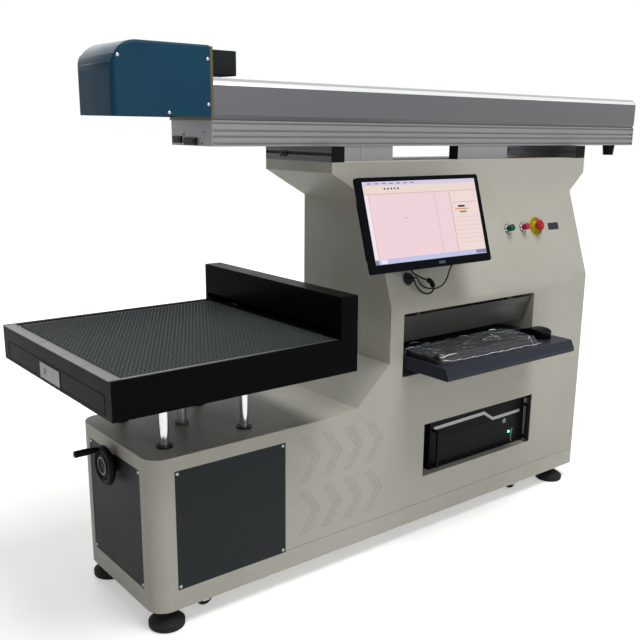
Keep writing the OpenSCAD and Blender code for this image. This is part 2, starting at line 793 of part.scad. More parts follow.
module t_slot() {
    translate([-1, -slot_mouth / 2]) square([4, slot_mouth]);
    translate([2.5, -slot_mouth / 2 - 2]) square([3, slot_mouth + 4]);
}

module profile_section() difference() {
    square([beam_w, profile_h]);
    for (z = slot_heights) {
        translate([0, z]) t_slot();
        translate([beam_w, z]) mirror([1, 0]) t_slot();
    }
    for (i = [0, 1]) translate([12 + i * (beam_w - 20) / 2, 8]) square([(beam_w - 28) / 2, profile_h - 16]);
}

module beam_profile() color(aluminium) place()
    translate([beam_x, beam_y, beam_z]) along_x(beam_length - end_plate_t) profile_section();

// Upper housing: an open-bottomed cover with a cove below and two facets along each top edge
facet = [[7, 11], [18, 18.5]];
cove = [5, 13];

function housing_half(inset) = [
    [cove[0] + inset, -1 + (inset > 0 ? 0 : 1)],
    [inset, cove[1]],
    [inset, housing_h - facet[1][1]],
    [facet[0][0] + inset * 0.8, housing_h - facet[1][1] + facet[0][1] - inset * 0.4],
    [facet[1][0] + inset * 0.4, housing_h - inset]
];

module housing_section(inset) {
    half = housing_half(inset);
    polygon(concat(half, [for (i = [len(half) - 1:-1:0]) [beam_w - half[i][0], half[i][1]]]));
}

module beam_housing() color(aluminium) place()
    translate([beam_x, beam_y, housing_z]) along_x(beam_length - end_plate_t) difference() {
        housing_section(0);
        housing_section(beam_wall);
    }

end_plate_t = 3;

module beam_end_plates() color("#8f9092") place() {
    translate([beam_x1 - end_plate_t, beam_y, beam_z]) along_x(end_plate_t) {
        square([beam_w, profile_h]);
        translate([0, profile_h]) housing_section(0);
    }
    translate([beam_x - end_plate_t, beam_y, beam_z]) along_x(end_plate_t) square([beam_w, profile_h]);
}

// Sealed gas laser lying on the profile inside the housing, with the beam tube at its end
laser_size = [900, 130, 84];
laser_x = 640;
tube_length = 90;
fin_gap = 4;
fins = 9;

module laser_source() color(aluminium) place() {
    translate([beam_x + laser_x, beam_y + (beam_w - laser_size[1]) / 2, housing_z])
        along_x(laser_size[0]) difference() {
            square([laser_size[1], laser_size[2]]);
            for (i = [1:fins]) translate([i * laser_size[1] / (fins + 1) - fin_gap / 2, laser_size[2] - 8])
                square([fin_gap, 9]);
        }
    translate([beam_x + laser_x - tube_length, beam_axis_y, aperture_z])
        rod_x(aperture_r, tube_length + 1);
}

// The beam leaves the laser on this axis, and the scan block's lens sits below its end
head_y = cover_y + cover_w / 2;
beam_axis_y = head_y + 24;
scan_z = cover_z + 32;
aperture_z = scan_z + 32;
aperture_r = 10;

// Machined flange that closes the beam's end and carries the head
module head_flange() color(olive) place() difference() {
    translate([beam_x - flange_t, cover_y, housing_z])
        cube([flange_t, cover_step + beam_w, cover_z + cover_h - cover_wall - housing_z]);
    translate([beam_x - flange_t - 1, beam_axis_y, aperture_z]) rod_x(aperture_r, flange_t + 2);
}

// Cover outline set in by a wall: round outer end, rounded upright edges
module cover_form(inset) intersection() {
    translate([cover_x, cover_y + inset, cover_z]) along_y(cover_w - 2 * inset) difference() {
        translate([inset, -inset]) square([cover_length, cover_h]);
        translate([inset, cover_h - inset]) rotate(-90) corner_off(cover_round - inset);
    }
    translate([cover_x, cover_y, cover_z - cover_wall - 1])
        linear_extrude(cover_h + cover_wall + 2) difference() {
            translate([inset, inset]) square([cover_length + inset + 1, cover_w - 2 * inset]);
            translate([inset, inset]) corner_off(cover_edge_r - inset);
            translate([inset, cover_w - inset]) rotate(-90) corner_off(cover_edge_r - inset);
        }
}

module head_cover() color(head_blue) place() difference() {
    cover_form(0);
    cover_form(cover_wall);
}

// Scan block bolted to the flange: frame of plates with two mirror motors above the lens
scan_size = [120, 96, 70];
scan_wall = 8;
lens_r = 42;
lens_x = cover_x + 92;
scan_x = lens_x - scan_size[0] / 2;
scan_y = head_y - scan_size[1] / 2;
motor_r = 13;
motor_length = 22;
mirror_shaft_r = 4;
mirror_size = [24, 20, 3];

module scan_block() color("#2a2b2d") place() difference() {
    union() {
        translate([scan_x, scan_y, scan_z]) cube([beam_x - flange_t - scan_x, scan_size[1], scan_wall]);
        translate([scan_x, scan_y, scan_z]) cube(scan_size);
        translate([scan_x - motor_length, head_y, aperture_z]) rod_x(motor_r, motor_length + 1);
        translate([lens_x, beam_axis_y, scan_z + scan_size[2] - 1])
            cylinder(r = motor_r, h = motor_length + 1);
    }
    translate([scan_x + scan_wall, scan_y - 1, scan_z + scan_wall])
        cube([scan_size[0] - 2 * scan_wall, scan_size[1] - scan_wall + 1, scan_size[2] - 2 * scan_wall]);
    translate([lens_x, head_y, scan_z - 1]) cylinder(r = lens_r - 10, h = scan_wall + 2);
    translate([lens_x, beam_axis_y, aperture_z]) rod_x(aperture_r, scan_size[0]);
    translate([scan_x - motor_length + 4, head_y, aperture_z])
        rod_x(mirror_shaft_r + running, motor_length + 8);
    translate([lens_x, beam_axis_y, scan_z + scan_size[2] - 10])
        cylinder(r = mirror_shaft_r + running, h = motor_length + 6);
}

// Lens barrel under the scan block, reaching through the cover's open underside
lens_drop = 2;

module scan_lens() color("#303236") place() translate([lens_x, head_y, cover_z + lens_drop])
    rotate_extrude() polygon([
        [0, 3], [lens_r - 6, 3], [lens_r - 4, 0], [lens_r, 0], [lens_r, 14], [lens_r - 6, 18],
        [lens_r - 6, scan_z - cover_z - lens_drop], [0, scan_z - cover_z - lens_drop]
    ]);

// First mirror, on an upright shaft: turns the beam towards the second
module mirror_x() color("silver") place() translate([lens_x, beam_axis_y, aperture_z]) {
    rotate([0, 0, 45]) cube([mirror_size[2], mirror_size[1], mirror_size[0]], center = true);
    translate([0, 0, mirror_size[0] / 2 - 1]) cylinder(r = mirror_shaft_r, h = scan_size[2] - 26);
}

// Second mirror, on a shaft along the beam: turns the beam down into the lens
module mirror_y() color("silver") place() translate([lens_x, head_y, aperture_z]) {
    rotate([45, 0, 0]) cube(mirror_size, center = true);
    translate([-scan_size[0] / 2 - 10, 0, 0]) rod_x(mirror_shaft_r, scan_size[0] / 2 - 1);
}

// Driver box on the back of the flange, above the beam
driver_size = [108, 84, 63];
driver_gap = 53;

module driver_box() color(satin_black) place()
    translate([beam_x, beam_y + driver_gap, cover_z + cover_h - 4 - driver_size[2]]) along_x(driver_size[0])
        rounded_rect(driver_size[1], driver_size[2], 4);

// Tapered clamp knob under the overhanging end
knob_x = 2120;

module beam_knob() color(rubber_black) place() translate([knob_x, mid_y, beam_z - 38])
    cylinder(r1 = 19, r2 = 23, h = 38);

// ---- Monitor ----

// Monitor frame: x along the width, y up the screen, z towards the viewer, at the lower left edge
module on_monitor() translate([monitor_x, -monitor_reach, deck_z + monitor_rise])
    rotate([90 - monitor_tilt, 0, 0]) children();

tilt_w = 71;
hinge_r = 9;
hinge_bore_r = 5;
tilt_pin = [monitor_size[0] / 2, monitor_size[1] / 2, -tilt_w];

// Back shell's rear face, the mounting plate on it, and the two cable ports below
back_z = -monitor_size[2] - monitor_bulge;
shell_inset = 33;
vesa = 100;
port = [26, 12, 14];
port_y = 37.5;
port_xs = [830, 1010];

module monitor_housing() color("#17181c") place() on_monitor() {
    difference() {
        translate([0, 0, -monitor_size[2]]) linear_extrude(monitor_size[2])
            rounded_rect(monitor_size[0], monitor_size[1], 8);
        translate([screen_margins[0], screen_margins[2], -3]) cube([screen_w, screen_h, 4]);
    }
    translate([shell_inset, 0, 0]) along_x(monitor_size[0] - 2 * shell_inset) polygon([
        [30, -monitor_size[2]], [44, back_z],
        [monitor_size[1] - 60, back_z], [monitor_size[1] - 24, -monitor_size[2]]
    ]);
    translate([tilt_pin[0] - vesa / 2, tilt_pin[1] - vesa / 2, back_z - 3]) cube([vesa, vesa, 3]);
    for (x = port_xs) translate([x - monitor_x - port[0] / 2, port_y, back_z]) cube(port);
    for (side = [-1, 1]) translate([tilt_pin[0] + side * 34 - 5, 0, 0]) difference() {
        along_x(10) hinge_ear();
        translate([-1, tilt_pin[1], tilt_pin[2]]) rod_x(hinge_bore_r + running, 12);
    }
}

// Ear of the tilt hinge, (y, z) in the monitor's frame
module hinge_ear() {
    translate([tilt_pin[1], tilt_pin[2]]) circle(r = hinge_r);
    translate([tilt_pin[1] - hinge_r, tilt_pin[2]]) square([2 * hinge_r, tilt_w + back_z - 2]);
}

screen_w = monitor_size[0] - screen_margins[0] - screen_margins[1];
screen_h = monitor_size[1] - screen_margins[2] - screen_margins[3];

module monitor_screen() color("#e9dde6") place() on_monitor()
    translate([screen_margins[0] + slip, screen_margins[2] + slip, -3])
        cube([screen_w - 2 * slip, screen_h - 2 * slip, 2]);

bracket_x = monitor_x + tilt_pin[0];
bracket_z = deck_z + monitor_rise + monitor_size[1] / 2 * cos(monitor_tilt) - tilt_w * sin(monitor_tilt);
bracket_y = -monitor_reach + monitor_size[1] / 2 * sin(monitor_tilt) + tilt_w * cos(monitor_tilt);

foot_t = 4;
arm = [32, 44];

// Foot on the control face, arm, and the hinge barrel with its pin
module monitor_bracket() color(satin_black) place() {
    on_slope(bracket_x, bracket_z - slope_distance * sin(slope_angle)) {
        translate([-vesa / 2, -vesa / 2, 0]) cube([vesa, vesa, foot_t]);
        translate([-arm[0] / 2, -arm[1] / 2, 0]) cube([arm[0], arm[1], slope_distance - hinge_r * 0.6]);
    }
    translate([bracket_x - 26, bracket_y, bracket_z]) rod_x(hinge_r, 52);
    translate([bracket_x - 44, bracket_y, bracket_z]) rod_x(hinge_bore_r, 88);
}

// Distance of the hinge pin from the control face
slope_distance = ((bracket_z - slope_z0) * slope_run / slope_rise - bracket_y) * cos(slope_angle);

// ---- Cables between monitor and gland ----

gland_neck_r = 15;
gland_r = 19;
gland_h = 14;

module cable_gland() color(rubber_black) place()
    on_slope(column_x + gland_offset, deck_z + gland_rise) {
        translate([0, 0, -4]) cylinder(r = gland_neck_r, h = 4);
        rotate_extrude() polygon([[0, 0], [gland_r, 0], [gland_r, 4], [gland_r - 5, gland_h], [0, gland_h]]);
    }

// Route points, from the monitor's port to the gland, with the cable's radius at each
video_route = [
    [830, -32, 912.9, 2.6], [830, -35, 901.5, 2.6], [830, -32, 887, 2.6], [838, -25, 873, 2.6],
    [852, -22, 864, 2.6], [868, -23, 856, 3], [876, -24, 852, 7], [890, -25, 846, 9],
    [905, -25, 841, 9], [918, -24, 836, 6], [928, -21, 828, 3], [937, -18, 817, 2.6],
    [941, -15, 806, 2.6], [936, -9, 797, 2.6], [924, -5, 795, 2.6], [908, -4, 800, 2.6],
    [892, -5, 810, 2.6], [876, -8, 824, 2.6], [865, -11, 838, 2.6], [862, -9, 848, 2.6],
    [862, -2, 848.5, 2.6], [862, 10.8, 844.6, 2.6]
];
power_route = [
    [1010, -32, 912.9, 2.2], [1010, -35, 901.5, 2.2], [1011, -28, 886, 2.2], [1013, -14, 868, 2.2],
    [1012, -8, 852, 2.2], [1007, -7, 836, 2.2], [997, -7, 822, 2.2], [982, -8, 813, 2.2],
    [964, -9, 809, 2.2], [944, -10, 809, 2.2], [924, -11, 812, 2.2], [905, -12, 818, 2.2],
    [888, -13, 828, 2.2], [878, -14, 840, 2.2], [875, -10, 848, 2.2], [875, -2, 848.5, 2.2],
    [875, 10.8, 844.6, 2.2]
];

function unit(v) = v / norm(v);
function curve_at(p, i, t) =
    let (a = p[max(i - 1, 0)], b = p[i], c = p[i + 1], d = p[min(i + 2, len(p) - 1)])
    0.5 * (2 * b + (c - a) * t + (2 * a - 5 * b + 4 * c - d) * t * t + (3 * b - a - 3 * c + d) * t * t * t);
function smooth(p, steps) =
    concat([for (i = [0:len(p) - 2], s = [0:steps - 1]) curve_at(p, i, s / steps)], [p[len(p) - 1]]);
function place_of(q) = [q[0], q[1], q[2]];
function heading(q, i) = unit(place_of(q[min(i + 1, len(q) - 1)]) - place_of(q[max(i - 1, 0)]));
// Cross-wise directions carried along the route without twist
function carried(q, i) =
    i == 0 ? unit(cross(heading(q, 0), [1, 0, 0]))
    : let (last = carried(q, i - 1), way = heading(q, i)) unit(last - (last * way) * way);

sides = 8;

module cable(route, steps) {
    q = smooth(route, steps);
    rings = len(q);
    points = [for (i = [0:rings - 1])
        let (way = heading(q, i), u = carried(q, i), v = cross(way, u))
        for (k = [0:sides - 1]) let (turn = k * 360 / sides)
            place_of(q[i]) + q[i][3] * (cos(turn) * u + sin(turn) * v)];
    walls = [for (i = [0:rings - 2], k = [0:sides - 1])
        [i * sides + k, (i + 1) * sides + k, (i + 1) * sides + (k + 1) % sides, i * sides + (k + 1) % sides]];
    ends = [[for (k = [0:sides - 1]) k], [for (k = [sides - 1:-1:0]) (rings - 1) * sides + k]];
    polyhedron(points, concat(walls, ends), convexity = 6);
}

module video_cable() color(rubber_black) place() cable(video_route, 2);
module power_cable() color(rubber_black) place() cable(power_route, 2);

// ---- Controls ----

bezel_h = 5;
button_r = 11;
button_barrel_r = 13;
cap_reach = 24;

module on_button(i) on_slope(column_x + button_offsets[i], deck_z + button_rise) children();

module button_bezels() color("silver") place() for (i = [0, 1]) on_button(i) difference() {
    union() {
        rotate_extrude() polygon([
            [0, 0], [button_d / 2, 0], [button_d / 2, 1], [button_d / 2 - 2, bezel_h], [0, bezel_h]
        ]);
        translate([0, 0, -20]) cylinder(r = button_barrel_r, h = 20);
    }
    translate([0, 0, -12]) cylinder(r = button_r + slip, h = 20);
}

module push_cap() translate([0, 0, -8]) rotate_extrude() polygon([
    [0, 0], [button_r, 0], [button_r, cap_reach + 6], [button_r - 1.5, cap_reach + 7.5], [0, cap_reach + 8]
]);

module green_button() color("#1f6f4a") place() on_button(0) push_cap();
module red_button() color("#a3262b") place() on_button(1) push_cap();

module stop_collar() color("#d6c12c") place() on_button(2) difference() {
    union() {
        cylinder(d = collar_d, h = 3);
        translate([0, 0, 2]) cylinder(r = 15, h = 8);
        translate([0, 0, -24]) cylinder(r = button_barrel_r, h = 25);
    }
    translate([0, 0, -16]) cylinder(r = 8 + slip, h = 40);
}

module stop_button() color("#b0242a") place() on_button(2) {
    translate([0, 0, -8]) cylinder(r = 8, h = 24);
    translate([0, 0, 15]) rotate_extrude() polygon([
        [0, 0], [mushroom_d / 2 - 2, 0], [mushroom_d / 2, 2.5], [mushroom_d / 2, 6],
        [mushroom_d / 2 - 3, 10], [mushroom_d / 4, 12.5], [0, 13]
    ]);
}

// ---- Computer ----

handle_reach = 26;
handle_w = 10;
handle_h = 126;
handle_x = [10, 462];

module pc_case() color(satin_black) place() translate([pc_x, pc_setback, pc_shelf_z]) {
    cube([pc_size[0], pc_size[1], pc_size[2]]);
    for (x = handle_x) translate([x, 0, 12]) along_x(handle_w) difference() {
        translate([-handle_reach, 0]) square([handle_reach + 1, handle_h]);
        translate([-handle_reach + 8, 8]) square([handle_reach, handle_h - 16]);
    }
}

// ---- Keyboard recess ----

tray_w = recess_w - 2 * tray_gap;
tray_x = recess_x + tray_gap;
tray_top = tray_z + tray_edge;
lip = [12.5, 24];

// Inverted pan: flat top, folded edges, bevelled front lip
module keyboard_tray() color("#2e3440") place() translate([tray_x, -tray_reach, tray_z]) difference() {
    along_x(tray_w) polygon([
        [0, 0], [tray_depth, 0], [tray_depth, tray_edge], [lip[0], tray_edge], [0, tray_edge - lip[1]]
    ]);
    translate([2, 2, -1]) cube([tray_w - 4, tray_depth - 4, tray_edge - lip[1] - 1]);
    translate([2, lip[0], -1]) cube([tray_w - 4, tray_depth - lip[0] - 2, tray_edge - 1]);
}

tray_rail_size = [tray_gap - slip, recess_depth - 20, 20];

module tray_rails() color("silver") place()
    for (x = [recess_x, recess_x + recess_w - tray_rail_size[0]])
        translate([x, 8, tray_z + 4]) cube(tray_rail_size);

keyboard_size = [430, 130, 16];
keyboard_at = [14, 52];
key_pitch = 19.6;
key_rows = 6;
key_columns = 21;

// Keyboard: wedge-shaped housing under rows of keys
module keyboard() color("#1c1d1f") place()
    translate([tray_x + keyboard_at[0], -tray_reach + keyboard_at[1] + 2, tray_top]) {
        along_x(keyboard_size[0]) polygon([
            [0, 0], [keyboard_size[1], 0], [keyboard_size[1], keyboard_size[2] + 4],
            [keyboard_size[1] - 12, keyboard_size[2] + 4],
            [4, keyboard_size[2] - 6], [0, keyboard_size[2] - 9]
        ]);
        for (row = [0:key_rows - 1], column = [0:key_columns - 1])
            translate([10 + column * key_pitch, 8 + row * key_pitch, 9 + row * 1.4]) cube([17, 17, 7]);
    }

mouse_size = [60, 118, 30];
mouse_at = [503, 58];
mouse_arch = 110;

// Mouse: a rounded outline under an arched back
module mouse() color("#202124") place()
    translate([tray_x + mouse_at[0], -tray_reach + mouse_at[1], tray_top]) intersection() {
        linear_extrude(mouse_size[2] + 1) rounded_rect(mouse_size[0], mouse_size[1], 26);
        translate([-1, 0, 0]) along_x(mouse_size[0] + 2) intersection() {
            translate([mouse_size[1] * 0.4, mouse_size[2] - mouse_arch]) circle(r = mouse_arch, $fn = 96);
            translate([-1, -1]) square([mouse_size[1] + 2, mouse_size[2] + 2]);
        }
    }

flap_hinge = [recess_x, 8, recess_z + recess_h - flap_drop];
flap_barrel_r = 4;
flap_pin_r = 2;
flap_gap = 3;
hinge_places = [44, 466];
flap_band = [26, 1.2];
hinge_w = 40;

// Flap hanging from two hinges, leaning into the recess, with a stiffening band along its top
module recess_flap() color("#4a4b48") place()
    translate(flap_hinge + [flap_gap, 0, 0]) rotate([flap_angle, 0, 0]) {
        translate([0, -1, -flap_length])
            cube([recess_w - 2 * flap_gap, 2, flap_length - flap_barrel_r - slip]);
        translate([0, -1 - flap_band[1], -flap_band[0]])
            cube([recess_w - 2 * flap_gap, flap_band[1], flap_band[0] - flap_barrel_r - slip]);
        for (x = hinge_places) translate([x - flap_gap + hinge_w / 3 + slip, 0, 0]) difference() {
            union() {
                rod_x(flap_barrel_r, hinge_w / 3 - 2 * slip);
                translate([0, -1, -flap_barrel_r - 6]) cube([hinge_w / 3 - 2 * slip, 2, flap_barrel_r + 6]);
            }
            translate([-1, 0, 0]) rod_x(flap_pin_r + running, hinge_w);
        }
    }

// Fixed knuckles, leaf and pin of each hinge, under the recess ceiling
module flap_hinges() color(satin_black) place() for (x = hinge_places) translate(flap_hinge + [x, 0, 0]) {
    for (k = [0, 2]) translate([k * hinge_w / 3, 0, 0]) {
        rod_x(flap_barrel_r, hinge_w / 3);
        translate([0, -1.5, 0]) cube([hinge_w / 3, 2, flap_drop]);
    }
    rod_x(flap_pin_r, hinge_w);
}

machine_body();
front_panel();
left_panel();
rear_panel();
panel_screws();
bushings();
lift_gearbox();
levelling_pads();
levelling_studs();
castor_plates();
gantry_rails();
rail_caps();
beam_supports();
beam_profile();
beam_housing();
beam_end_plates();
laser_source();
head_flange();
head_cover();
scan_block();
scan_lens();
mirror_x();
mirror_y();
driver_box();
beam_knob();
button_bezels();
stop_collar();
cable_gland();
monitor_bracket();
pc_case();
tray_rails();
flap_hinges();
video_cable();
power_cable();
table_frame();
honeycomb();
edge_strips();
guide_rods();
lift_screw();
suction_box();
waste_drawer();
handwheel();
crank_grip();
keyboard_tray();
keyboard();
mouse();
recess_flap();
monitor_housing();
monitor_screen();
green_button();
red_button();
stop_button();
castor_fork_fl();
castor_fork_fr();
castor_fork_bl();
castor_fork_br();
castor_wheel_fl();
castor_wheel_fr();
castor_wheel_bl();
castor_wheel_br();
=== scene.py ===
import bpy
import bmesh
import itertools
import json
import math
from mathutils import Matrix, Vector, noise

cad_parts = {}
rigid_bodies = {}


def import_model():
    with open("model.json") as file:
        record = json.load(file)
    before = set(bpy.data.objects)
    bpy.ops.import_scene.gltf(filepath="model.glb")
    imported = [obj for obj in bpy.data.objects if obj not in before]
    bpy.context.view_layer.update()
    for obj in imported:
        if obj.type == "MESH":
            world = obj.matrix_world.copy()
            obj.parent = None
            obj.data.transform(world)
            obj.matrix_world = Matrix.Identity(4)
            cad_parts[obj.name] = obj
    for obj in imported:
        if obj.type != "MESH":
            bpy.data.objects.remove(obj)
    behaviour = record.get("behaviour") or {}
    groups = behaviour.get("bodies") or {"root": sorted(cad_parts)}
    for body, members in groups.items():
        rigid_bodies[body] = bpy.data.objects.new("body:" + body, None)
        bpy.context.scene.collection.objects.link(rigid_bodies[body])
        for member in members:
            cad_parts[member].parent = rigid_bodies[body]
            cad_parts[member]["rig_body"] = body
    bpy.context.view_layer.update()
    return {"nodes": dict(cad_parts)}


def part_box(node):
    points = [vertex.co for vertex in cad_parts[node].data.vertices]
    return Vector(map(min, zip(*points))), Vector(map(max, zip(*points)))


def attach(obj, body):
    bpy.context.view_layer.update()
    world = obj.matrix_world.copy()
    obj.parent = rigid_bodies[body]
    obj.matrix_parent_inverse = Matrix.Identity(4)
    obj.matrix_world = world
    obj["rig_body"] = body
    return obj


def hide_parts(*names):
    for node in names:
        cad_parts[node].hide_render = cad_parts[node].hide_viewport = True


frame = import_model()
nodes = frame["nodes"]
scene = bpy.context.scene
mm = 0.001

# Lengths along the machine are counted from the cabinet's left end, its front face and the floor
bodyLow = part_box("machine_body")[0]
cornerPoint = Vector((bodyLow.x, bodyLow.y, 0))


def at(x, y, z):
    return cornerPoint + Vector((x, y, z)) * mm


def span(nodeName):
    # A CAD piece's lowest and highest corners in mm
    return tuple((corner - cornerPoint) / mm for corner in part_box(nodeName))


def bodyOf(nodeName):
    return nodes[nodeName]["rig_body"]


# Where the viewer stands
cameraSpot = {
    "place": (-875, -1772, 1268.5),  # mm from the cabinet's front left corner on the floor
    "turn": 39.0,
    "tip": -14.1,
    "roll": 0.7,
    "lens": 47.84,
    "sensor": 36,
    "shift": (-0.0166, 0.0358),
    "clip": (0.05, 60),
}


def addCamera():
    turn, tip, roll = (math.radians(cameraSpot[k]) for k in ("turn", "tip", "roll"))
    ahead = Vector((math.sin(turn) * math.cos(tip), math.cos(turn) * math.cos(tip), math.sin(tip)))
    level = Vector((math.cos(turn), -math.sin(turn), 0))
    upward = level.cross(ahead)
    right = level * math.cos(roll) + upward * math.sin(roll)
    top = upward * math.cos(roll) - level * math.sin(roll)
    turned = Matrix((right, top, -ahead)).transposed().to_4x4()
    data = bpy.data.cameras.new("frontCamera")
    data.lens = cameraSpot["lens"]
    data.sensor_width = cameraSpot["sensor"]
    data.shift_x, data.shift_y = cameraSpot["shift"]
    data.clip_start, data.clip_end = cameraSpot["clip"]
    camera = bpy.data.objects.new("frontCamera", data)
    scene.collection.objects.link(camera)
    camera.matrix_world = Matrix.Translation(at(*cameraSpot["place"])) @ turned
    scene.camera = camera


addCamera()
print("camera placed")


# Small helpers for colours, nodes and meshes
def toLinear(hexColour):
    parts = [int(hexColour[i:i + 2], 16) / 255 for i in (1, 3, 5)]
    return tuple(c / 12.92 if c <= 0.04045 else ((c + 0.055) / 1.055) ** 2.4 for c in parts) + (1.0,)


def addNode(tree, kind, settings=None, links=None):
    node = tree.nodes.new(kind)
    for name, value in (settings or {}).items():
        if name in node.inputs:
            node.inputs[name].default_value = value
        else:
            setattr(node, name, value)
    for name, source in (links or {}).items():
        tree.links.new(source, node.inputs[name])
    return node


def startMaterial(name, colour, metallic, roughness, **more):
    material = bpy.data.materials.new(name)
    material.use_nodes = True
    tree = material.node_tree
    shader = tree.nodes["Principled BSDF"]
    shader.inputs["Base Color"].default_value = toLinear(colour)
    shader.inputs["Metallic"].default_value = metallic
    shader.inputs["Roughness"].default_value = roughness
    for socket, value in more.items():
        shader.inputs[socket.replace("_", " ")].default_value = value
    place = addNode(tree, "ShaderNodeTexCoord").outputs["Object"]
    return material, tree, shader, place


def newPiece(name, shape, material, body, bevel=0, smoothAngle=35, edgeAngle=34):
    mesh = bpy.data.meshes.new(name)
    shape.to_mesh(mesh)
    shape.free()
    piece = bpy.data.objects.new(name, mesh)
    scene.collection.objects.link(piece)
    for one in material if isinstance(material, list) else [material]:
        mesh.materials.append(one)
    mesh.shade_smooth()
    mesh.set_sharp_from_angle(angle=math.radians(smoothAngle))
    if bevel:
        edge = piece.modifiers.new("edge", "BEVEL")
        edge.width, edge.segments, edge.limit_method = bevel * mm, 3, "ANGLE"
        edge.angle_limit, edge.harden_normals = math.radians(edgeAngle), True
    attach(piece, body)
    return piece


def turnedPlace(spot, angle, axis):
    # A frame in mm at spot, turned about one of its axes
    return Matrix.Translation(spot) @ Matrix.Rotation(angle, 4, axis) @ Matrix.Scale(mm, 4)


def addBlock(shape, low, high, tilt=None):
    size = Vector(high) - Vector(low)
    middle = (Vector(high) + Vector(low)) / 2
    place = Matrix.Translation(middle) @ Matrix.Diagonal((size.x, size.y, size.z, 1))
    bmesh.ops.create_cube(shape, size=1, matrix=(tilt or Matrix()) @ place)


def addRod(shape, base, axis, radius, length, sides):
    turn = Vector((0, 0, 1)).rotation_difference(Vector(axis)).to_matrix().to_4x4()
    place = Matrix.Translation(Vector(base)) @ turn @ Matrix.Translation((0, 0, length / 2))
    bmesh.ops.create_cone(
        shape, cap_ends=True, segments=sides, radius1=radius, radius2=radius, depth=length, matrix=place)


def addTurned(shape, outline, place, sides=32):
    # outline is a list of (radius, height) points, spun once round the place's z axis
    before = set(shape.faces)
    points = [shape.verts.new(place @ Vector((r, 0, h))) for r, h in outline]
    edges = [shape.edges.new(pair) for pair in zip(points, points[1:])]
    bmesh.ops.spin(
        shape, geom=points + edges, cent=place.to_translation(), axis=place.to_3x3() @ Vector((0, 0, 1)),
        angle=math.tau, steps=sides, use_merge=True)
    made = [f for f in shape.faces if f not in before]
    bmesh.ops.remove_doubles(shape, verts=list({v for f in made for v in f.verts}), dist=1e-6)
    bmesh.ops.recalc_face_normals(shape, faces=[f for f in shape.faces if f not in before and f.is_valid])


def solidShape(nodeName):
    # The CAD solid's own mesh, merged, with its flat faces in one piece
    shape = bmesh.new()
    shape.from_mesh(nodes[nodeName].data)
    bmesh.ops.remove_doubles(shape, verts=shape.verts, dist=1e-5)
    bmesh.ops.dissolve_limit(shape, angle_limit=math.radians(0.4), verts=shape.verts, edges=shape.edges)
    return shape


def edgedCopy(nodeName, material, width, pick=None):
    # The CAD solid with its edges rounded as folded and machined edges are
    shape = solidShape(nodeName)
    for face in shape.faces:
        face.material_index = pick(face) if pick else 0
    piece = newPiece(nodeName + "Shape", shape, material, bodyOf(nodeName), bevel=width, smoothAngle=30, edgeAngle=30)
    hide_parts(nodeName)


def dress(material, *names):
    for name in names:
        nodes[name].data.materials.clear()
        nodes[name].data.materials.append(material)


# Each finish has its colour and, where it has one, that of its stains or wear
finishes = {
    "bodyPaint": ("#aeaca2", "#979588"), "panelPaint": ("#2b2f30", "#232728"), "charcoalAndSheen": ("#2a2b2c", "#242526"),
    "blackMetalAndShade": ("#161719", "#1f2022"), "headPaint": ("#1d4156", "#1a3546"), "trayPaint": ("#262a33", "#23272f"),
    "flapPaintAndShade": ("#494a46", "#3f403c"), "olivePlate": ("#56512c", "#4a4526"), "castIron": ("#4b4e50", "#3f4143"),
    "glossBlack": ("#0b0c0d", "#101113"), "blackPlastic": ("#17181a", "#1e1f21"), "bakelite": ("#0b0c0b", "#121312"),
    "rubber": ("#171717", "#222221"), "sleek": "#0b0d12", "cable": "#121213", "darkMarkAndShade": "#3c3c37",
    "extrusion": "#646568", "profile": "#8a8b8b", "polished": "#e2e4e3", "facet": "#a9abaa", "rail": "#4a4c4e",
    "strip": "#525455", "plate": "#8f9193", "chrome": "#d4d6d8", "steel": "#a5a8aa", "silverTrim": "#a3a6a4",
    "screwSteel": "#c4c6c8", "seamShade": "#24231f", "ventShade": "#55554c", "green": "#0c4a33", "red": "#9c2640",
    "mushroom": "#a01c22", "yellow": "#c9b41c",
}
# Places of the colour sockets on a mix node, which bear the same names as its plain ones
firstColour, secondColour, mixedColour = 6, 7, 2


def powderCoat(name, colour, stain, roughness=0.42, peel=2.2, relief=0.03, shine=0.4):
    # Powder-coated sheet steel: an even colour with a faint orange peel and some handling marks
    material, tree, shader, place = startMaterial(name, colour, 0.0, roughness, Specular_IOR_Level=shine)
    cloud = addNode(tree, "ShaderNodeTexNoise", {"Scale": 2.6, "Detail": 5.0, "Roughness": 0.6}, {"Vector": place})
    patch = addNode(tree, "ShaderNodeMapRange", {"From Min": 0.52, "From Max": 0.78, "To Max": 0.45},
                    {"Value": cloud.outputs["Fac"]})
    mix = addNode(tree, "ShaderNodeMix", {"data_type": "RGBA"}, {"Factor": patch.outputs["Result"]})
    mix.inputs[firstColour].default_value = toLinear(colour)
    mix.inputs[secondColour].default_value = toLinear(stain)
    tree.links.new(mix.outputs[mixedColour], shader.inputs["Base Color"])
    wipe = addNode(tree, "ShaderNodeTexNoise", {"Scale": 9.0, "Detail": 3.0}, {"Vector": place})
    gloss = addNode(tree, "ShaderNodeMapRange", {"To Min": roughness - 0.06, "To Max": roughness + 0.08},
                    {"Value": wipe.outputs["Fac"]})
    tree.links.new(gloss.outputs["Result"], shader.inputs["Roughness"])
    grain = addNode(tree, "ShaderNodeTexNoise", {"Scale": 1000 / peel, "Detail": 1.0}, {"Vector": place})
    bump = addNode(tree, "ShaderNodeBump", {"Strength": 0.5, "Distance": relief * mm},
                   {"Height": grain.outputs["Fac"]})
    tree.links.new(bump.outputs["Normal"], shader.inputs["Normal"])
    return material


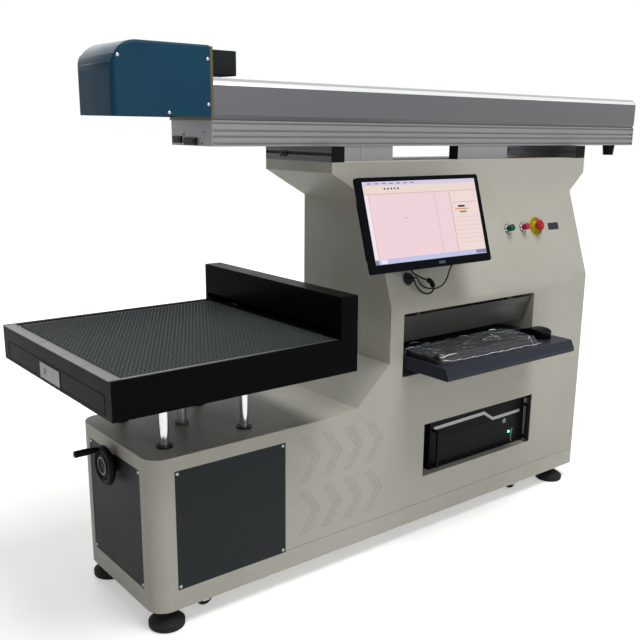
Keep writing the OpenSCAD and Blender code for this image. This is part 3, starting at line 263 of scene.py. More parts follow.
def drawnMetal(name, colour, roughness, along=(1, 0, 0), pitch=0.5, relief=0.02, metallic=1.0, streak=0.12):
    # Metal with the fine lines of extruding or brushing, running along one direction
    material, tree, shader, place = startMaterial(name, colour, metallic, roughness)
    stretch = [4.0 if a else 1000 / pitch for a in along]
    mapped = addNode(tree, "ShaderNodeMapping", {"Scale": stretch}, {"Vector": place})
    lines = addNode(tree, "ShaderNodeTexNoise", {"Scale": 1.0, "Detail": 2.0}, {"Vector": mapped.outputs["Vector"]})
    tone = addNode(tree, "ShaderNodeMapRange", {"To Min": 1 - streak, "To Max": 1.0},
                   {"Value": lines.outputs["Fac"]})
    shade = addNode(tree, "ShaderNodeMix", {"data_type": "RGBA", "blend_type": "MULTIPLY", "Factor": 1.0})
    shade.inputs[firstColour].default_value = toLinear(colour)
    tree.links.new(tone.outputs["Result"], shade.inputs[secondColour])
    tree.links.new(shade.outputs[mixedColour], shader.inputs["Base Color"])
    gloss = addNode(tree, "ShaderNodeMapRange", {"To Min": roughness - 0.05, "To Max": roughness + 0.08},
                    {"Value": lines.outputs["Fac"]})
    tree.links.new(gloss.outputs["Result"], shader.inputs["Roughness"])
    bump = addNode(tree, "ShaderNodeBump", {"Strength": 0.35, "Distance": relief * mm},
                   {"Height": lines.outputs["Fac"]})
    tree.links.new(bump.outputs["Normal"], shader.inputs["Normal"])
    return material


def mouldedPlastic(name, colour, roughness, grit=0.8, relief=0.03, worn=None, shine=0.15):
    # Moulded ABS or rubber: spark-eroded mould texture, rubbed smoother in places
    material, tree, shader, place = startMaterial(name, colour, 0.0, roughness, Specular_IOR_Level=shine)
    grain = addNode(tree, "ShaderNodeTexNoise", {"Scale": 1000 / grit, "Detail": 2.0}, {"Vector": place})
    bump = addNode(tree, "ShaderNodeBump", {"Strength": 0.4, "Distance": relief * mm},
                   {"Height": grain.outputs["Fac"]})
    tree.links.new(bump.outputs["Normal"], shader.inputs["Normal"])
    rubbed = addNode(tree, "ShaderNodeTexNoise", {"Scale": 22.0, "Detail": 3.0}, {"Vector": place})
    gloss = addNode(tree, "ShaderNodeMapRange", {"To Min": roughness - 0.07, "To Max": roughness + 0.07},
                    {"Value": rubbed.outputs["Fac"]})
    tree.links.new(gloss.outputs["Result"], shader.inputs["Roughness"])
    if worn:
        mix = addNode(tree, "ShaderNodeMix", {"data_type": "RGBA"}, {"Factor": rubbed.outputs["Fac"]})
        mix.inputs[firstColour].default_value = toLinear(colour)
        mix.inputs[secondColour].default_value = toLinear(worn)
        tree.links.new(mix.outputs[mixedColour], shader.inputs["Base Color"])
    return material


# The same three in one of the finishes above
def coated(name, finish, roughness, **more):
    return powderCoat(name, *finishes[finish], roughness, **more)


def moulded(name, finish, roughness, **more):
    colour, worn = finishes[finish] if isinstance(finishes[finish], tuple) else (finishes[finish], None)
    return mouldedPlastic(name, colour, roughness, worn=worn, **more)


def drawn(name, finish, roughness, **more):
    return drawnMetal(name, finishes[finish], roughness, **more)


alongY, alongZ = (0, 1, 0), (0, 0, 1)
bodyPaint = coated("bodyPowderCoat", "bodyPaint", 0.42, shine=0.15)  # warm grey, semi-matt, with soft highlights
panelPaint = coated("panelPowderCoat", "panelPaint", 0.45, shine=0.08)  # slate, nearly matt
charcoalAndSheen = coated("charcoalCoatAndSheen", "charcoalAndSheen", 0.42, shine=0.02)  # dull dark grey; on the table frame's left side and its waste drawer, paler than the black front as a painted reflection
blackMetalAndShade = coated("blackAnodisedAndShade", "blackMetalAndShade", 0.38, peel=0.9, relief=0.015, shine=0.04)  # fine satin black; on the beam supports' left faces it is painted shade
headPaint = coated("headTexturedCoat", "headPaint", 0.36, peel=1.6, relief=0.05, shine=0.05)  # blue, finely pebbled
trayPaint = coated("trayPowderCoat", "trayPaint", 0.34, shine=0.12)  # blue-black, smoother than the body
flapPaintAndShade = coated("flapCoatAndShade", "flapPaintAndShade", 0.4, shine=0.25)  # the body's grey darkened as painted shade for the recess the flap hangs in
olivePlate = coated("olivePlateAnodised", "olivePlate", 0.42, peel=0.9)  # a thin olive edge
castIron = coated("gearboxPaint", "castIron", 0.5, peel=3, relief=0.12)  # coarse painted casting
glossBlack = coated("glossBlackCoat", "glossBlack", 0.24, peel=3.0, relief=0.01, shine=0.012)  # deep black
blackPlastic = moulded("blackAbs", "blackPlastic", 0.45)  # finely grained ABS
sleekPlastic = moulded("glossBlackAbs", "sleek", 0.22, relief=0.008, shine=0.02)  # smooth ABS of the monitor
bakelite = moulded("blackBakelite", "bakelite", 0.5, shine=0.06)  # dull black handles and caps
rubber = moulded("blackRubber", "rubber", 0.72, grit=1.2, relief=0.06, shine=0.2)  # matt, scuffed paler
cablePvc = moulded("cablePvc", "cable", 0.5, grit=0.6)  # soft matt sheath
greenCap = moulded("greenCap", "green", 0.3, relief=0.006)
redCap = moulded("redCap", "red", 0.3, relief=0.006)
mushroomRed = moulded("mushroomRed", "mushroom", 0.24, relief=0.006)
yellowCollar = moulded("yellowCollar", "yellow", 0.36, relief=0.02)
# Dark grey for printed marks, joints and plugs, and as painted shade in the rail slots and beside the drawer plate
darkMarkAndShade = moulded("darkMarkAndShade", "darkMarkAndShade", 0.6, shine=0.1)
# Satin anodised extrusion scatters much of its light, so it is only partly metallic
extrusion = drawn("anodisedExtrusion", "extrusion", 0.4, metallic=0.35)
profileMetal = drawn("anodisedProfile", "profile", 0.4, metallic=0.35)
polished = drawn("highlightFacetMetal", "polished", 0.24, metallic=0.3, streak=0.05)  # a painted highlight: the bright line of the beam's steep upward facet
# A paler satin metal as painted sheen on the beam's flatter upward facet
sheenFacetMetal = drawn("sheenFacetSatin", "facet", 0.3, metallic=0.3, streak=0.05)
railMetal = drawn("anodisedRail", "rail", 0.42, along=alongY, metallic=0.4)
stripMetal = drawn("anodisedStrip", "strip", 0.38, along=alongY, metallic=0.4)
plateMetal = drawn("milledPlate", "plate", 0.42, along=alongY, pitch=0.8, metallic=0.4)  # coarser milling lines
chrome = drawn("hardChrome", "chrome", 0.12, along=alongZ, pitch=0.4, relief=0.004, streak=0.04)  # mirror-like
steel = drawn("brushedSteel", "steel", 0.32, pitch=0.4)  # grey with fine lines
print("materials made")

# Leads between the monitor and its gland, in mm
videoLead = {
    "width": 5.2,
    "route": [
        (830, -32, 912.9), (830, -35, 901.5), (830, -32, 887), (838, -25, 873), (852, -22, 864),
        (868, -23, 856), (876, -24, 852), (890, -25, 846), (905, -25, 841), (918, -24, 836),
        (928, -21, 828), (937, -18, 817), (941, -15, 806), (936, -9, 797), (924, -5, 795),
        (908, -4, 800), (892, -5, 810), (876, -8, 824), (865, -11, 838), (862, -9, 848),
        (862, -2, 848.5), (862, 10.8, 844.6)],
}
powerLead = {
    "width": 4.4,
    "route": [
        (1010, -32, 912.9), (1010, -35, 901.5), (1011, -28, 886), (1013, -14, 868), (1012, -8, 852),
        (1007, -7, 836), (997, -7, 822), (982, -8, 813), (964, -9, 809), (944, -10, 809),
        (924, -11, 812), (905, -12, 818), (888, -13, 828), (878, -14, 840), (875, -10, 848),
        (875, -2, 848.5), (875, 10.8, 844.6)],
}


def spline(points, steps):
    # Points on a smooth curve through the route
    ends = [points[0]] + points + [points[-1]]
    out = []
    for a, b, c, d in zip(ends, ends[1:], ends[2:], ends[3:]):
        for s in range(steps):
            t = s / steps
            out.append(0.5 * (2 * b + (c - a) * t + (2 * a - 5 * b + 4 * c - d) * t * t
                              + (3 * b - a - 3 * c + d) * t ** 3))
    return out + [points[-1]]


def addTube(shape, points, radius, sides):
    # A round tube along points, its rings carried along without twist
    across = (points[1] - points[0]).normalized().orthogonal().normalized()
    ring = None
    for i, point in enumerate(points):
        ahead = (points[min(i + 1, len(points) - 1)] - points[max(i - 1, 0)]).normalized()
        across = (across - across.dot(ahead) * ahead).normalized()
        other = ahead.cross(across)
        wide = radius[i] if isinstance(radius, (list, tuple)) else radius
        fresh = [shape.verts.new(point + wide * (math.cos(k * math.tau / sides) * across
                                                 + math.sin(k * math.tau / sides) * other)) for k in range(sides)]
        if ring:
            for k in range(sides):
                n = (k + 1) % sides
                shape.faces.new((ring[k], ring[n], fresh[n], fresh[k]))
        else:
            shape.faces.new(list(reversed(fresh)))
        ring = fresh
    shape.faces.new(ring)


def addLead(name, lead, node):
    path = spline([at(*p) for p in lead["route"]], 6)
    shape = bmesh.new()
    addTube(shape, path, lead["width"] / 2 * mm, 14)
    piece = newPiece(name, shape, cablePvc, "machine", smoothAngle=60)
    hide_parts(node)


addLead("videoLead", videoLead, "video_cable")
addLead("powerLead", powerLead, "power_cable")
print("cables made")

# CAD pieces that only need their edges rounded, in mm
edged = {
    "machine_body": (bodyPaint, 2.2), "front_panel": (panelPaint, 0.6), "left_panel": (panelPaint, 0.6),
    "rear_panel": (bodyPaint, 0.6), "suction_box": (glossBlack, 1.6), "waste_drawer": (charcoalAndSheen, 0.8),
    "head_flange": (olivePlate, 0.8), "driver_box": (charcoalAndSheen, 1.2),
    "beam_end_plates": (plateMetal, 0.5), "recess_flap": (flapPaintAndShade, 0.5),
    "keyboard_tray": (trayPaint, 1.2), "pc_case": (blackMetalAndShade, 0.8), "monitor_bracket": (blackMetalAndShade, 0.8),
    "castor_plates": (chrome, 0.4), "scan_block": (blackMetalAndShade, 0.6),
}
for name, (material, width) in edged.items():
    edgedCopy(name, material, width)


# Parts of a face's normal that tell which way it looks, to pick the faces given painted light or shade, and the slot
# in a rail's side in mm
lean = {"left": -0.7, "steep": (0.3, 0.7), "flat": (0.7, 0.95)}
railSlot = {"skin": 0.4, "depth": 7, "half": 4.2}


def leftFacePaintedLight(face):
    return int(face.normal.x < lean["left"])


def beamFacetLighting(face):
    # The steep facet above the beam's front gets a bright painted highlight, the flatter one next to it a paler
    # painted sheen
    for slotIndex, kind in enumerate(("steep", "flat"), 1):
        if lean[kind][0] < face.normal.z < lean[kind][1]:
            return slotIndex
    return 0


def railSide(face):
    # The slot along a rail's side is in shade, the faces round it are plain metal
    low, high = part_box("gantry_rails")
    middle = face.calc_center_median()
    inset = min(middle.x - low.x, high.x - middle.x)
    deep = railSlot["skin"] * mm < inset < railSlot["depth"] * mm
    return int(deep and abs(middle.z - (low.z + high.z) / 2) < railSlot["half"] * mm)


# The frame's left faces take the paler charcoal as a painted reflection, the rest is deep black
edgedCopy("table_frame", [glossBlack, charcoalAndSheen], 1.2, leftFacePaintedLight)
edgedCopy("beam_housing", [extrusion, polished, sheenFacetMetal], 0.5, beamFacetLighting)
# The supports' left faces are painted black as shade
edgedCopy("beam_supports", [plateMetal, blackMetalAndShade], 0.8, leftFacePaintedLight)
# The slots in the rails' sides are painted dark as shade
edgedCopy("gantry_rails", [railMetal, darkMarkAndShade], 0.5, railSide)
castorCorners = ("fl", "fr", "bl", "br")
dress(steel, "panel_screws", "levelling_studs", "tray_rails", "lift_screw")
dress(blackMetalAndShade, "bushings", "scan_lens", "flap_hinges")
dress(castIron, "lift_gearbox")
dress(rubber, "levelling_pads", *[f"castor_wheel_{corner}" for corner in castorCorners])
dress(chrome, "guide_rods", "mirror_x", "mirror_y", "button_bezels")
dress(chrome, *[f"castor_fork_{corner}" for corner in castorCorners])
dress(stripMetal, "edge_strips")
dress(profileMetal, "beam_profile", "laser_source")
dress(blackPlastic, "cable_gland", "keyboard")
dress(bakelite, "rail_caps", "beam_knob", "handwheel", "crank_grip")
dress(sleekPlastic, "monitor_housing", "mouse")
dress(yellowCollar, "stop_collar")
dress(greenCap, "green_button")
dress(redCap, "red_button")
dress(mushroomRed, "stop_button")
print("frame dressed")

# Plain finishes for small parts
silverTrim = drawn("silverTrim", "silverTrim", 0.34, metallic=0.3, streak=0.06)
screwSteel = drawn("screwSteel", "screwSteel", 0.25, along=alongZ, metallic=0.7)
seamDark = moulded("seamShadow", "seamShade", 0.7, shine=0.05)
ventShade = moulded("ventShadow", "ventShade", 0.7, shine=0.05)


def glowing(name, colour, strength):
    # A lit surface: a dark glass front with its own light behind it
    material, _, shader, _ = startMaterial(
        name, "#060607", 0.0, 0.3, Emission_Strength=strength, Specular_IOR_Level=0.1)
    shader.inputs["Emission Color"].default_value = toLinear(colour)
    return material


# The screen's picture: panes in shares of its width and height from the top left
screenPlan = {
    "corner": (-84, 890), "lean": 72.9, "housing": (486, 264), "margins": (22.5, 15.5, 24, 12),
    "depth": -0.85, "layer": 0.02, "glow": 0.96, "plate": ((262, 8, 0), (288, 16, 0.5)),
    "panes": [
        (0, 0, 1, 1, "canvas"), (0, 0, 1, 0.05, "menu"), (0, 0.05, 1, 0.15, "tools"),
        (0, 0.148, 1, 0.156, "rule"), (0, 0.156, 0.035, 0.94, "gutter"), (0.033, 0.156, 0.037, 0.94, "rule"),
        (0.596, 0.16, 0.6, 0.93, "rule"), (0.735, 0.16, 0.742, 0.93, "rule"), (0.742, 0.156, 1, 0.93, "panel"),
        (0.76, 0.3, 0.98, 0.308, "rule"), (0.8, 0.345, 0.865, 0.37, "ink"), (0.77, 0.385, 0.89, 0.4, "orange"),
        (0.81, 0.42, 0.875, 0.442, "green"), (0, 0.94, 1, 1, "taskbar"), (0, 0.945, 0.03, 1, "shade"),
        (0.05, 0.945, 0.1, 0.995, "gutter"), (0.9, 0.945, 1, 0.99, "shade"), (0.31, 0.45, 0.322, 0.465, "shade"),
    ],
    "colours": {
        "canvas": "#f1d6dc", "menu": "#d8cfe8", "tools": "#eedbd2", "rule": "#cfb0b2", "gutter": "#f5e8f0",
        "panel": "#f2dcd8", "ink": "#2d2429", "orange": "#dd8f58", "green": "#549a7c", "taskbar": "#c2c8e9",
        "shade": "#8f86a6",
    },
}
screenPlan["panes"] += [(0.04 + 0.06 * i, 0.018, 0.075 + 0.06 * i, 0.032, "shade") for i in range(7)]
screenPlan["panes"] += [(0.17 + 0.028 * i, 0.08, 0.184 + 0.028 * i, 0.1, "ink") for i in range(5)]
screenPlan["panes"] += [(0.76, 0.5 + 0.055 * i, 0.98, 0.504 + 0.055 * i, "rule") for i in range(7)]
monitorPlace = turnedPlace(at(span("monitor_housing")[0].x, *screenPlan["corner"]),
                           math.radians(screenPlan["lean"]), "X")


def addScreen():
    left, right, bottom, top = screenPlan["margins"]
    wide = screenPlan["housing"][0] - left - right
    tall = screenPlan["housing"][1] - bottom - top
    kinds = list(screenPlan["colours"])
    shape = bmesh.new()
    for i, (x0, y0, x1, y1, kind) in enumerate(screenPlan["panes"]):
        lift = screenPlan["depth"] + screenPlan["layer"] * i
        corners = [(x0, y1), (x1, y1), (x1, y0), (x0, y0)]
        ring = [shape.verts.new(monitorPlace @ Vector((left + u * wide, bottom + (1 - v) * tall, lift)))
                for u, v in corners]
        shape.faces.new(ring).material_index = kinds.index(kind)
    slots = [glowing("screen" + kind.title(), screenPlan["colours"][kind], screenPlan["glow"]) for kind in kinds]
    newPiece("screenPicture", shape, slots, bodyOf("monitor_housing"))
    shape = bmesh.new()
    addBlock(shape, *screenPlan["plate"], monitorPlace)
    newPiece("monitorPlate", shape, mouldedPlastic("bezelPlate", "#45465c", 0.4), bodyOf("monitor_housing"))


addScreen()
print("screen made")

# Rows of small vent holes in the cabinet's front, in nested chevrons, each a dark disc just proud of the face as
# painted shade for the hole
vents = {"left": 457, "pitch": 80, "count": 4, "blocks": (372, 213), "reach": 78, "half": 60,
         "rows": 4, "steps": 9, "rowPitch": 9.2, "tipGap": 3, "radius": 1.5, "front": -0.12, "depth": 0.2,
         "sides": 8}


def addVents():
    slant = vents["reach"] - vents["rows"] * vents["rowPitch"]
    shape = bmesh.new()
    for middle, i, side, row, step in itertools.product(
            vents["blocks"], range(vents["count"]), (-1, 1), range(vents["rows"]), range(vents["steps"])):
        share = step / (vents["steps"] - 1)
        x = vents["left"] + i * vents["pitch"] + row * vents["rowPitch"] + share * slant
        z = middle + side * (vents["half"] * (1 - share) + vents["tipGap"])
        addRod(shape, at(x, vents["front"], z), (0, 1, 0), vents["radius"] * mm, vents["depth"] * mm, vents["sides"])
    newPiece("ventHoles", shape, ventShade, "machine")


addVents()

# Honeycomb worktop: one pair of cells, repeated both ways
comb = {"across": 11.0, "wall": 0.9, "depth": 2.5, "bedLift": 0.5,
        "colour": "#474e4e", "bed": ("#444b4a", "#272c2c")}


def addComb():
    # Two cells make the pattern: one in the corner, and one half a cell over in the next row
    low, high = span("honeycomb")
    radius = comb["across"] / math.sqrt(3)
    inner = radius - comb["wall"] / math.sqrt(3)
    top, bottom = high.z, high.z - comb["depth"]
    shape = bmesh.new()
    for x, y in ((low.x + comb["across"] / 2, low.y + radius), (low.x + comb["across"], low.y + 2.5 * radius)):
        rings = []
        for size, height in ((radius, top), (inner, top), (inner, bottom)):
            rings.append([shape.verts.new(at(x + size * math.sin(k * math.tau / 6),
                                             y + size * math.cos(k * math.tau / 6), height)) for k in range(6)])
        for outer, innerRing in zip(rings, rings[1:]):
            for k in range(6):
                n = (k + 1) % 6
                shape.faces.new((outer[k], innerRing[k], innerRing[n], outer[n]))
    bmesh.ops.recalc_face_normals(shape, faces=shape.faces)
    combMetal = drawnMetal("combAluminium", comb["colour"], 0.5, along=alongY, metallic=0.3)
    cells = newPiece("combCells", shape, combMetal, bodyOf("honeycomb"))
    for axis, pitch, length in ((0, comb["across"], high.x - low.x - comb["across"]),
                                (1, 3 * radius, high.y - low.y)):
        row = cells.modifiers.new("row", "ARRAY")
        row.count = int(length / pitch)
        row.use_relative_offset, row.use_constant_offset = False, True
        row.constant_offset_displace = [pitch * mm if i == axis else 0 for i in range(3)]
    shape = bmesh.new()
    addBlock(shape, at(low.x, low.y, low.z), at(high.x, high.y, bottom + comb["bedLift"]))
    bed = newPiece("combBed", shape, powderCoat("combShade", *comb["bed"]), bodyOf("honeycomb"))
    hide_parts("honeycomb")


addComb()
print("worktop made")

# The sloping control face leans back by its run over its rise, from its foot's height
slope = {"run": 100, "rise": 299, "foot": 767}


def slopePlace(x, z):
    # On the sloping control face: x along it, y up it, z out of it, in mm
    run, rise = slope["run"], slope["rise"]
    length = math.hypot(run, rise)
    up, out = Vector((0, run, rise)) / length, Vector((0, -rise, run)) / length
    turned = Matrix((Vector((1, 0, 0)), up, out)).transposed().to_4x4()
    return Matrix.Translation(at(x, run * (z - slope["foot"]) / rise, z)) @ turned @ Matrix.Scale(mm, 4)


# Control face: a dark badge, rings and gasket at the buttons
controls = {"badge": (1603, 950, 56, 24, 1.0), "stop": (1508, 955), "caps": ((1363, 955), (1440, 955)),
            "ring": [(22, 5.2), (22, 6.2), (30, 6.2), (30.6, 5.2)],
            "gasket": [(15.2, 0), (16.8, 0), (16.8, 0.9), (15.2, 1.2)]}


def addControls():
    shape = bmesh.new()
    x, z, wide, tall, thick = controls["badge"]
    addBlock(shape, (-wide / 2, -tall / 2, 0), (wide / 2, tall / 2, thick), slopePlace(x, z))
    newPiece("badgePlate", shape, mouldedPlastic("badgePlate", "#23282b", 0.3), "machine", bevel=0.4)
    shape = bmesh.new()
    addTurned(shape, controls["ring"], slopePlace(*controls["stop"]), 48)
    newPiece("stopRing", shape, mouldedPlastic("stopRing", "#8c7c14", 0.4), bodyOf("stop_collar"))
    shape = bmesh.new()
    for spot in controls["caps"]:
        addTurned(shape, controls["gasket"], slopePlace(*spot), 40)
    newPiece("buttonGaskets", shape, blackPlastic, "machine")


addControls()

# Computer front, seen through the window
computer = {
    "face": 31, "band": [(1014, 337), (1258, 341), (1303, 312), (1446, 314)], "bandWidth": 11, "bandRise": 2,
    "door": (1044, 200, 1430, 305, 1), "edge": (1041, 200, 1043.4, 309, 1.6),
    "strip": [(1412, 256), (1404, 232), (1409, 206)], "stripRise": 1.5, "stripRadius": 2.2,
    "lock": (1366, 291), "lockShape": [(9, 0), (9, 2), (7, 3), (3, 3), (3, 2), (0, 2)],
    "lamp": (1393, 246), "lampShape": [(0, 3.2), (3, 2.8), (4.4, 1.4), (4.6, 0)], "glow": ("#5df2b4", 4.5),
    "ear": (1470.5, 196, 1514, 352, 3), "earPaint": ("#b4b2ac", "#a5a39d"),
}


def addFrontBlock(shape, face, block):
    # A block standing proud of a face: its corners in x and z, and how far it stands out
    x0, z0, x1, z1, rise = block
    addBlock(shape, at(x0, face - rise, z0), at(x1, face, z1))


def addComputerFront():
    face, body = computer["face"], bodyOf("pc_case")
    shape = bmesh.new()
    half = computer["bandWidth"] / 2
    for (x0, z0), (x1, z1) in zip(computer["band"], computer["band"][1:]):
        ring = [at(x0, face, z0 - half), at(x1, face, z1 - half), at(x1, face, z1 + half), at(x0, face, z0 + half)]
        low = [shape.verts.new(p) for p in ring]
        high = [shape.verts.new(p - Vector((0, computer["bandRise"] * mm, 0))) for p in ring]
        shape.faces.new(high)
        for k in range(4):
            shape.faces.new((low[k], low[(k + 1) % 4], high[(k + 1) % 4], high[k]))
    bmesh.ops.remove_doubles(shape, verts=shape.verts, dist=1e-6)
    bmesh.ops.recalc_face_normals(shape, faces=shape.faces)
    newPiece("computerTrim", shape, silverTrim, body)
    shape = bmesh.new()
    addFrontBlock(shape, face, computer["door"])
    newPiece("computerDoor", shape, mouldedPlastic("computerDoor", "#101214", 0.35, shine=0.06), body, bevel=0.5)
    shape = bmesh.new()
    addFrontBlock(shape, face, computer["edge"])
    y = face - computer["stripRise"]
    for (a, b), (c, d) in zip(computer["strip"], computer["strip"][1:]):
        addTube(shape, [at(a, y, b), at(c, y, d)], computer["stripRadius"] * mm, 8)
    x, z = computer["lock"]
    addTurned(shape, computer["lockShape"], turnedPlace(at(x, face, z), math.pi / 2, "X"))
    newPiece("computerHardware", shape, drawnMetal("dullTrim", "#85898a", 0.4, metallic=0.3), body)
    shape = bmesh.new()
    x, z = computer["lamp"]
    addTurned(shape, computer["lampShape"], turnedPlace(at(x, face - 1, z), math.pi / 2, "X"), 20)
    newPiece("powerLamp", shape, glowing("powerLampGreen", *computer["glow"]), body)
    shape = bmesh.new()
    addFrontBlock(shape, face, computer["ear"])
    newPiece("computerEar", shape, powderCoat("earPaint", *computer["earPaint"], 0.45), body, bevel=0.5)


addComputerFront()
print("controls and computer made")

# Scan head: softly rounded outer edges, screws in its front, and the flange's thin edge
headPlan = {
    "round": 9, "steps": 5, "upright": 0.99, "skin": 0.5, "under": -0.1, "rear": 0.5, "fold": 0.6,
    "screwRadius": 4.2, "screwRise": 2.2, "socket": 1.2,
    "screws": [(36, 1430), (277, 1434), (277, 1325), (166, 1303)],
}


def addHead():
    low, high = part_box("head_cover")
    shape = solidShape("head_cover")

    def onSide(face):
        y = face.calc_center_median().y
        outer = min(abs(y - low.y), abs(y - high.y)) < headPlan["skin"] * mm
        return outer and abs(face.normal.y) > headPlan["upright"]

    def isRounded(edge):
        # Only where a side meets the top or the round end, not underneath or at the flange
        sides = [f for f in edge.link_faces if onSide(f)]
        others = [f for f in edge.link_faces if not onSide(f)]
        if len(sides) != 1 or len(others) != 1 or edge.calc_face_angle(0) <= headPlan["fold"]:
            return False
        return others[0].normal.z > headPlan["under"] and others[0].normal.x < headPlan["rear"]

    rounded = [edge for edge in shape.edges if isRounded(edge)]
    bmesh.ops.bevel(shape, geom=rounded, offset=headPlan["round"] * mm, segments=headPlan["steps"],
                    profile=0.5, affect="EDGES", material=-1, clamp_overlap=True)
    piece = newPiece("headCoverShape", shape, headPaint, bodyOf("head_cover"), bevel=0.6, smoothAngle=40)
    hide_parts("head_cover")
    r, h, hole = headPlan["screwRadius"], headPlan["screwRise"], headPlan["socket"]
    screwHead = [(0, hole), (hole, hole), (hole, h), (r * 0.6, h), (r, h * 0.4), (r, -0.3)]
    shape = bmesh.new()
    for x, z in headPlan["screws"]:
        for side, y in ((-1, low.y), (1, high.y)):
            spot = at(x, 0, z)
            spot.y = y
            addTurned(shape, screwHead, turnedPlace(spot, -side * math.pi / 2, "X"), 20)
    newPiece("headScrews", shape, screwSteel, bodyOf("head_cover"))


addHead()

# Left end of the lower profile: a pale plate with two sockets and small plugs
endPlan = {
    "face": 292, "plate": (1223, 157.5, 1287, 367.5, 1.2), "paint": ("#e6dccb", "#d6ccbb"),
    "sockets": [(1228, 312, 1246, 356, 7), (1224, 233, 1243, 291, 9)], "mouth": (4, 8),
    "marks": [(193, 1257, 2.6), (207, 1229, 3.2), (300, 1251, 3.4)], "markRise": 2.4,
}


def addEndBlock(shape, face, block):
    # A block standing proud of a left face: its corners in z and y, and how far it stands out
    z0, y0, z1, y1, rise = block
    addBlock(shape, at(face - rise, y0, z0), at(face, y1, z1))


def addProfileEnd():
    body, outside = bodyOf("beam_profile"), endPlan["face"] - 1
    shape = bmesh.new()
    addEndBlock(shape, endPlan["face"], endPlan["plate"])
    newPiece("profileEnd", shape, powderCoat("profileEndCoat", *endPlan["paint"], 0.45), body, bevel=0.5)
    shape = bmesh.new()
    up, aside = endPlan["mouth"]
    for z0, y0, z1, y1, rise in endPlan["sockets"]:
        addEndBlock(shape, outside, (z0, y0, z1, y1, rise))
        addEndBlock(shape, outside - rise, (z0 + up, y0 + aside, z1 - up, y1 - aside, 1))
    newPiece("profileSockets", shape, blackPlastic, body, bevel=0.9)
    shape = bmesh.new()
    for y, z, radius in endPlan["marks"]:
        addRod(shape, at(outside, y, z), (-1, 0, 0), radius * mm, endPlan["markRise"] * mm, 16)
    newPiece("profilePlugs", shape, darkMarkAndShade, body)


addProfileEnd()

# Waste drawer's joint line and plate with its marks and shadows
drawerPlan = {
    "face": -147, "line": (-94, 655, 516, 701), "corner": 9, "cornerSteps": 5, "lineRadius": 1.0,
    "plate": (656, 160, 696, 284, 1.6), "plateColour": "#8e8f8e", "ink": (-148.4, 0.7),
    "marks": [(671, 244, 673, 262), (677, 240, 679, 256), (683, 243, 684.5, 259)],
    "shadows": [(656, 284.2, 697, 287, 1.2), (656, 156.6, 697, 159.6, 1.2)],
}
# The edge strips' seams and their ruler's marks, in from the table's left side
rulerPlan = {
    "seams": (297, 150, 27), "seamReach": (1, 27), "seamWidth": 2.2, "depth": 0.5, "seamRise": 0.15,
    "ticks": 8.0, "margin": 20, "every": 5, "long": 13, "short": 7, "end": 29, "width": 0.7, "rise": 0.08,
}


def addDrawerFront():
    body, face = bodyOf("waste_drawer"), drawerPlan["face"]
    y0, z0, y1, z1 = drawerPlan["line"]
    r, steps = drawerPlan["corner"], drawerPlan["cornerSteps"]
    path = []
    for cy, cz, turn in ((y1 - r, z1 - r, 0), (y0 + r, z1 - r, 90), (y0 + r, z0 + r, 180), (y1 - r, z0 + r, 270)):
        for k in range(steps):
            a = math.radians(turn + k * 90 / (steps - 1))
            path.append(at(face, cy + r * math.cos(a), cz + r * math.sin(a)))
    path.append(path[0])
    shape = bmesh.new()
    addTube(shape, path, drawerPlan["lineRadius"] * mm, 6)
    newPiece("drawerJoint", shape, seamDark, body)
    shape = bmesh.new()
    addEndBlock(shape, face, drawerPlan["plate"])
    pullPlate = drawnMetal("pullPlate", drawerPlan["plateColour"], 0.4, along=alongY, metallic=0.2)
    newPiece("drawerPlate", shape, pullPlate, body, bevel=0.5)
    shape = bmesh.new()
    inkFace, inkRise = drawerPlan["ink"]
    for mark in drawerPlan["marks"]:
        addEndBlock(shape, inkFace, (*mark, inkRise))
    # Painted shadows beside both ends of the plate
    for shadow in drawerPlan["shadows"]:
        addEndBlock(shape, face, shadow)
    newPiece("drawerMarksAndShadows", shape, darkMarkAndShade, body)


def addRuler():
    low, high = span("edge_strips")
    under = high.z - rulerPlan["depth"]
    near, far = rulerPlan["seamReach"]
    shape = bmesh.new()
    for y in rulerPlan["seams"]:
        addBlock(shape, at(low.x + near, y, under),
                 at(low.x + far, y + rulerPlan["seamWidth"], high.z + rulerPlan["seamRise"]))
    start, end = low.y + rulerPlan["margin"], low.x + rulerPlan["end"]
    y = start
    while y < high.y - rulerPlan["margin"]:
        whole = round((y - start) / rulerPlan["ticks"]) % rulerPlan["every"] == 0
        length = rulerPlan["long"] if whole else rulerPlan["short"]
        addBlock(shape, at(end - length, y, under), at(end, y + rulerPlan["width"], high.z + rulerPlan["rise"]))
        y += rulerPlan["ticks"]
    newPiece("rulerMarks", shape, darkMarkAndShade, bodyOf("edge_strips"))


addDrawerFront()
addRuler()
print("head, beam end and table details made")

# Clear film bag over the keyboard: it clings to the keys; the pale glossy tubes along its front edge and over some
# folds are painted highlights
filmPlan = {
    "low": 848, "high": 1318, "back": (96, 14), "front": (-137, -0.03, 870, 1.1), "across": (200, 72),
    "keys": (859, -125, 1289, 5, 635), "tray": 611.6, "gap": (0.6, 0.8), "fall": (32, 9),
    "noise": (0.013, 0.03, 0.3), "small": (2.3, (4, 1, 2), 0.5), "soft": (1.7, (1, 5, 3)), "ridges": 9,
    "rise": 4.6, "ridgeShare": 0.6, "ceiling": (-40, 641), "wander": (6, 0.03, 7),
    # The pale colour shows along the folds, partly as a painted highlight
    "borders": (12, 8, 4), "colour": "#cdd2d5", "clear": 0.08, "glintAlpha": 0.85,
    "flat": (0.5, 0.27), "area": 0.113,  # m and square m, before it was laid
}
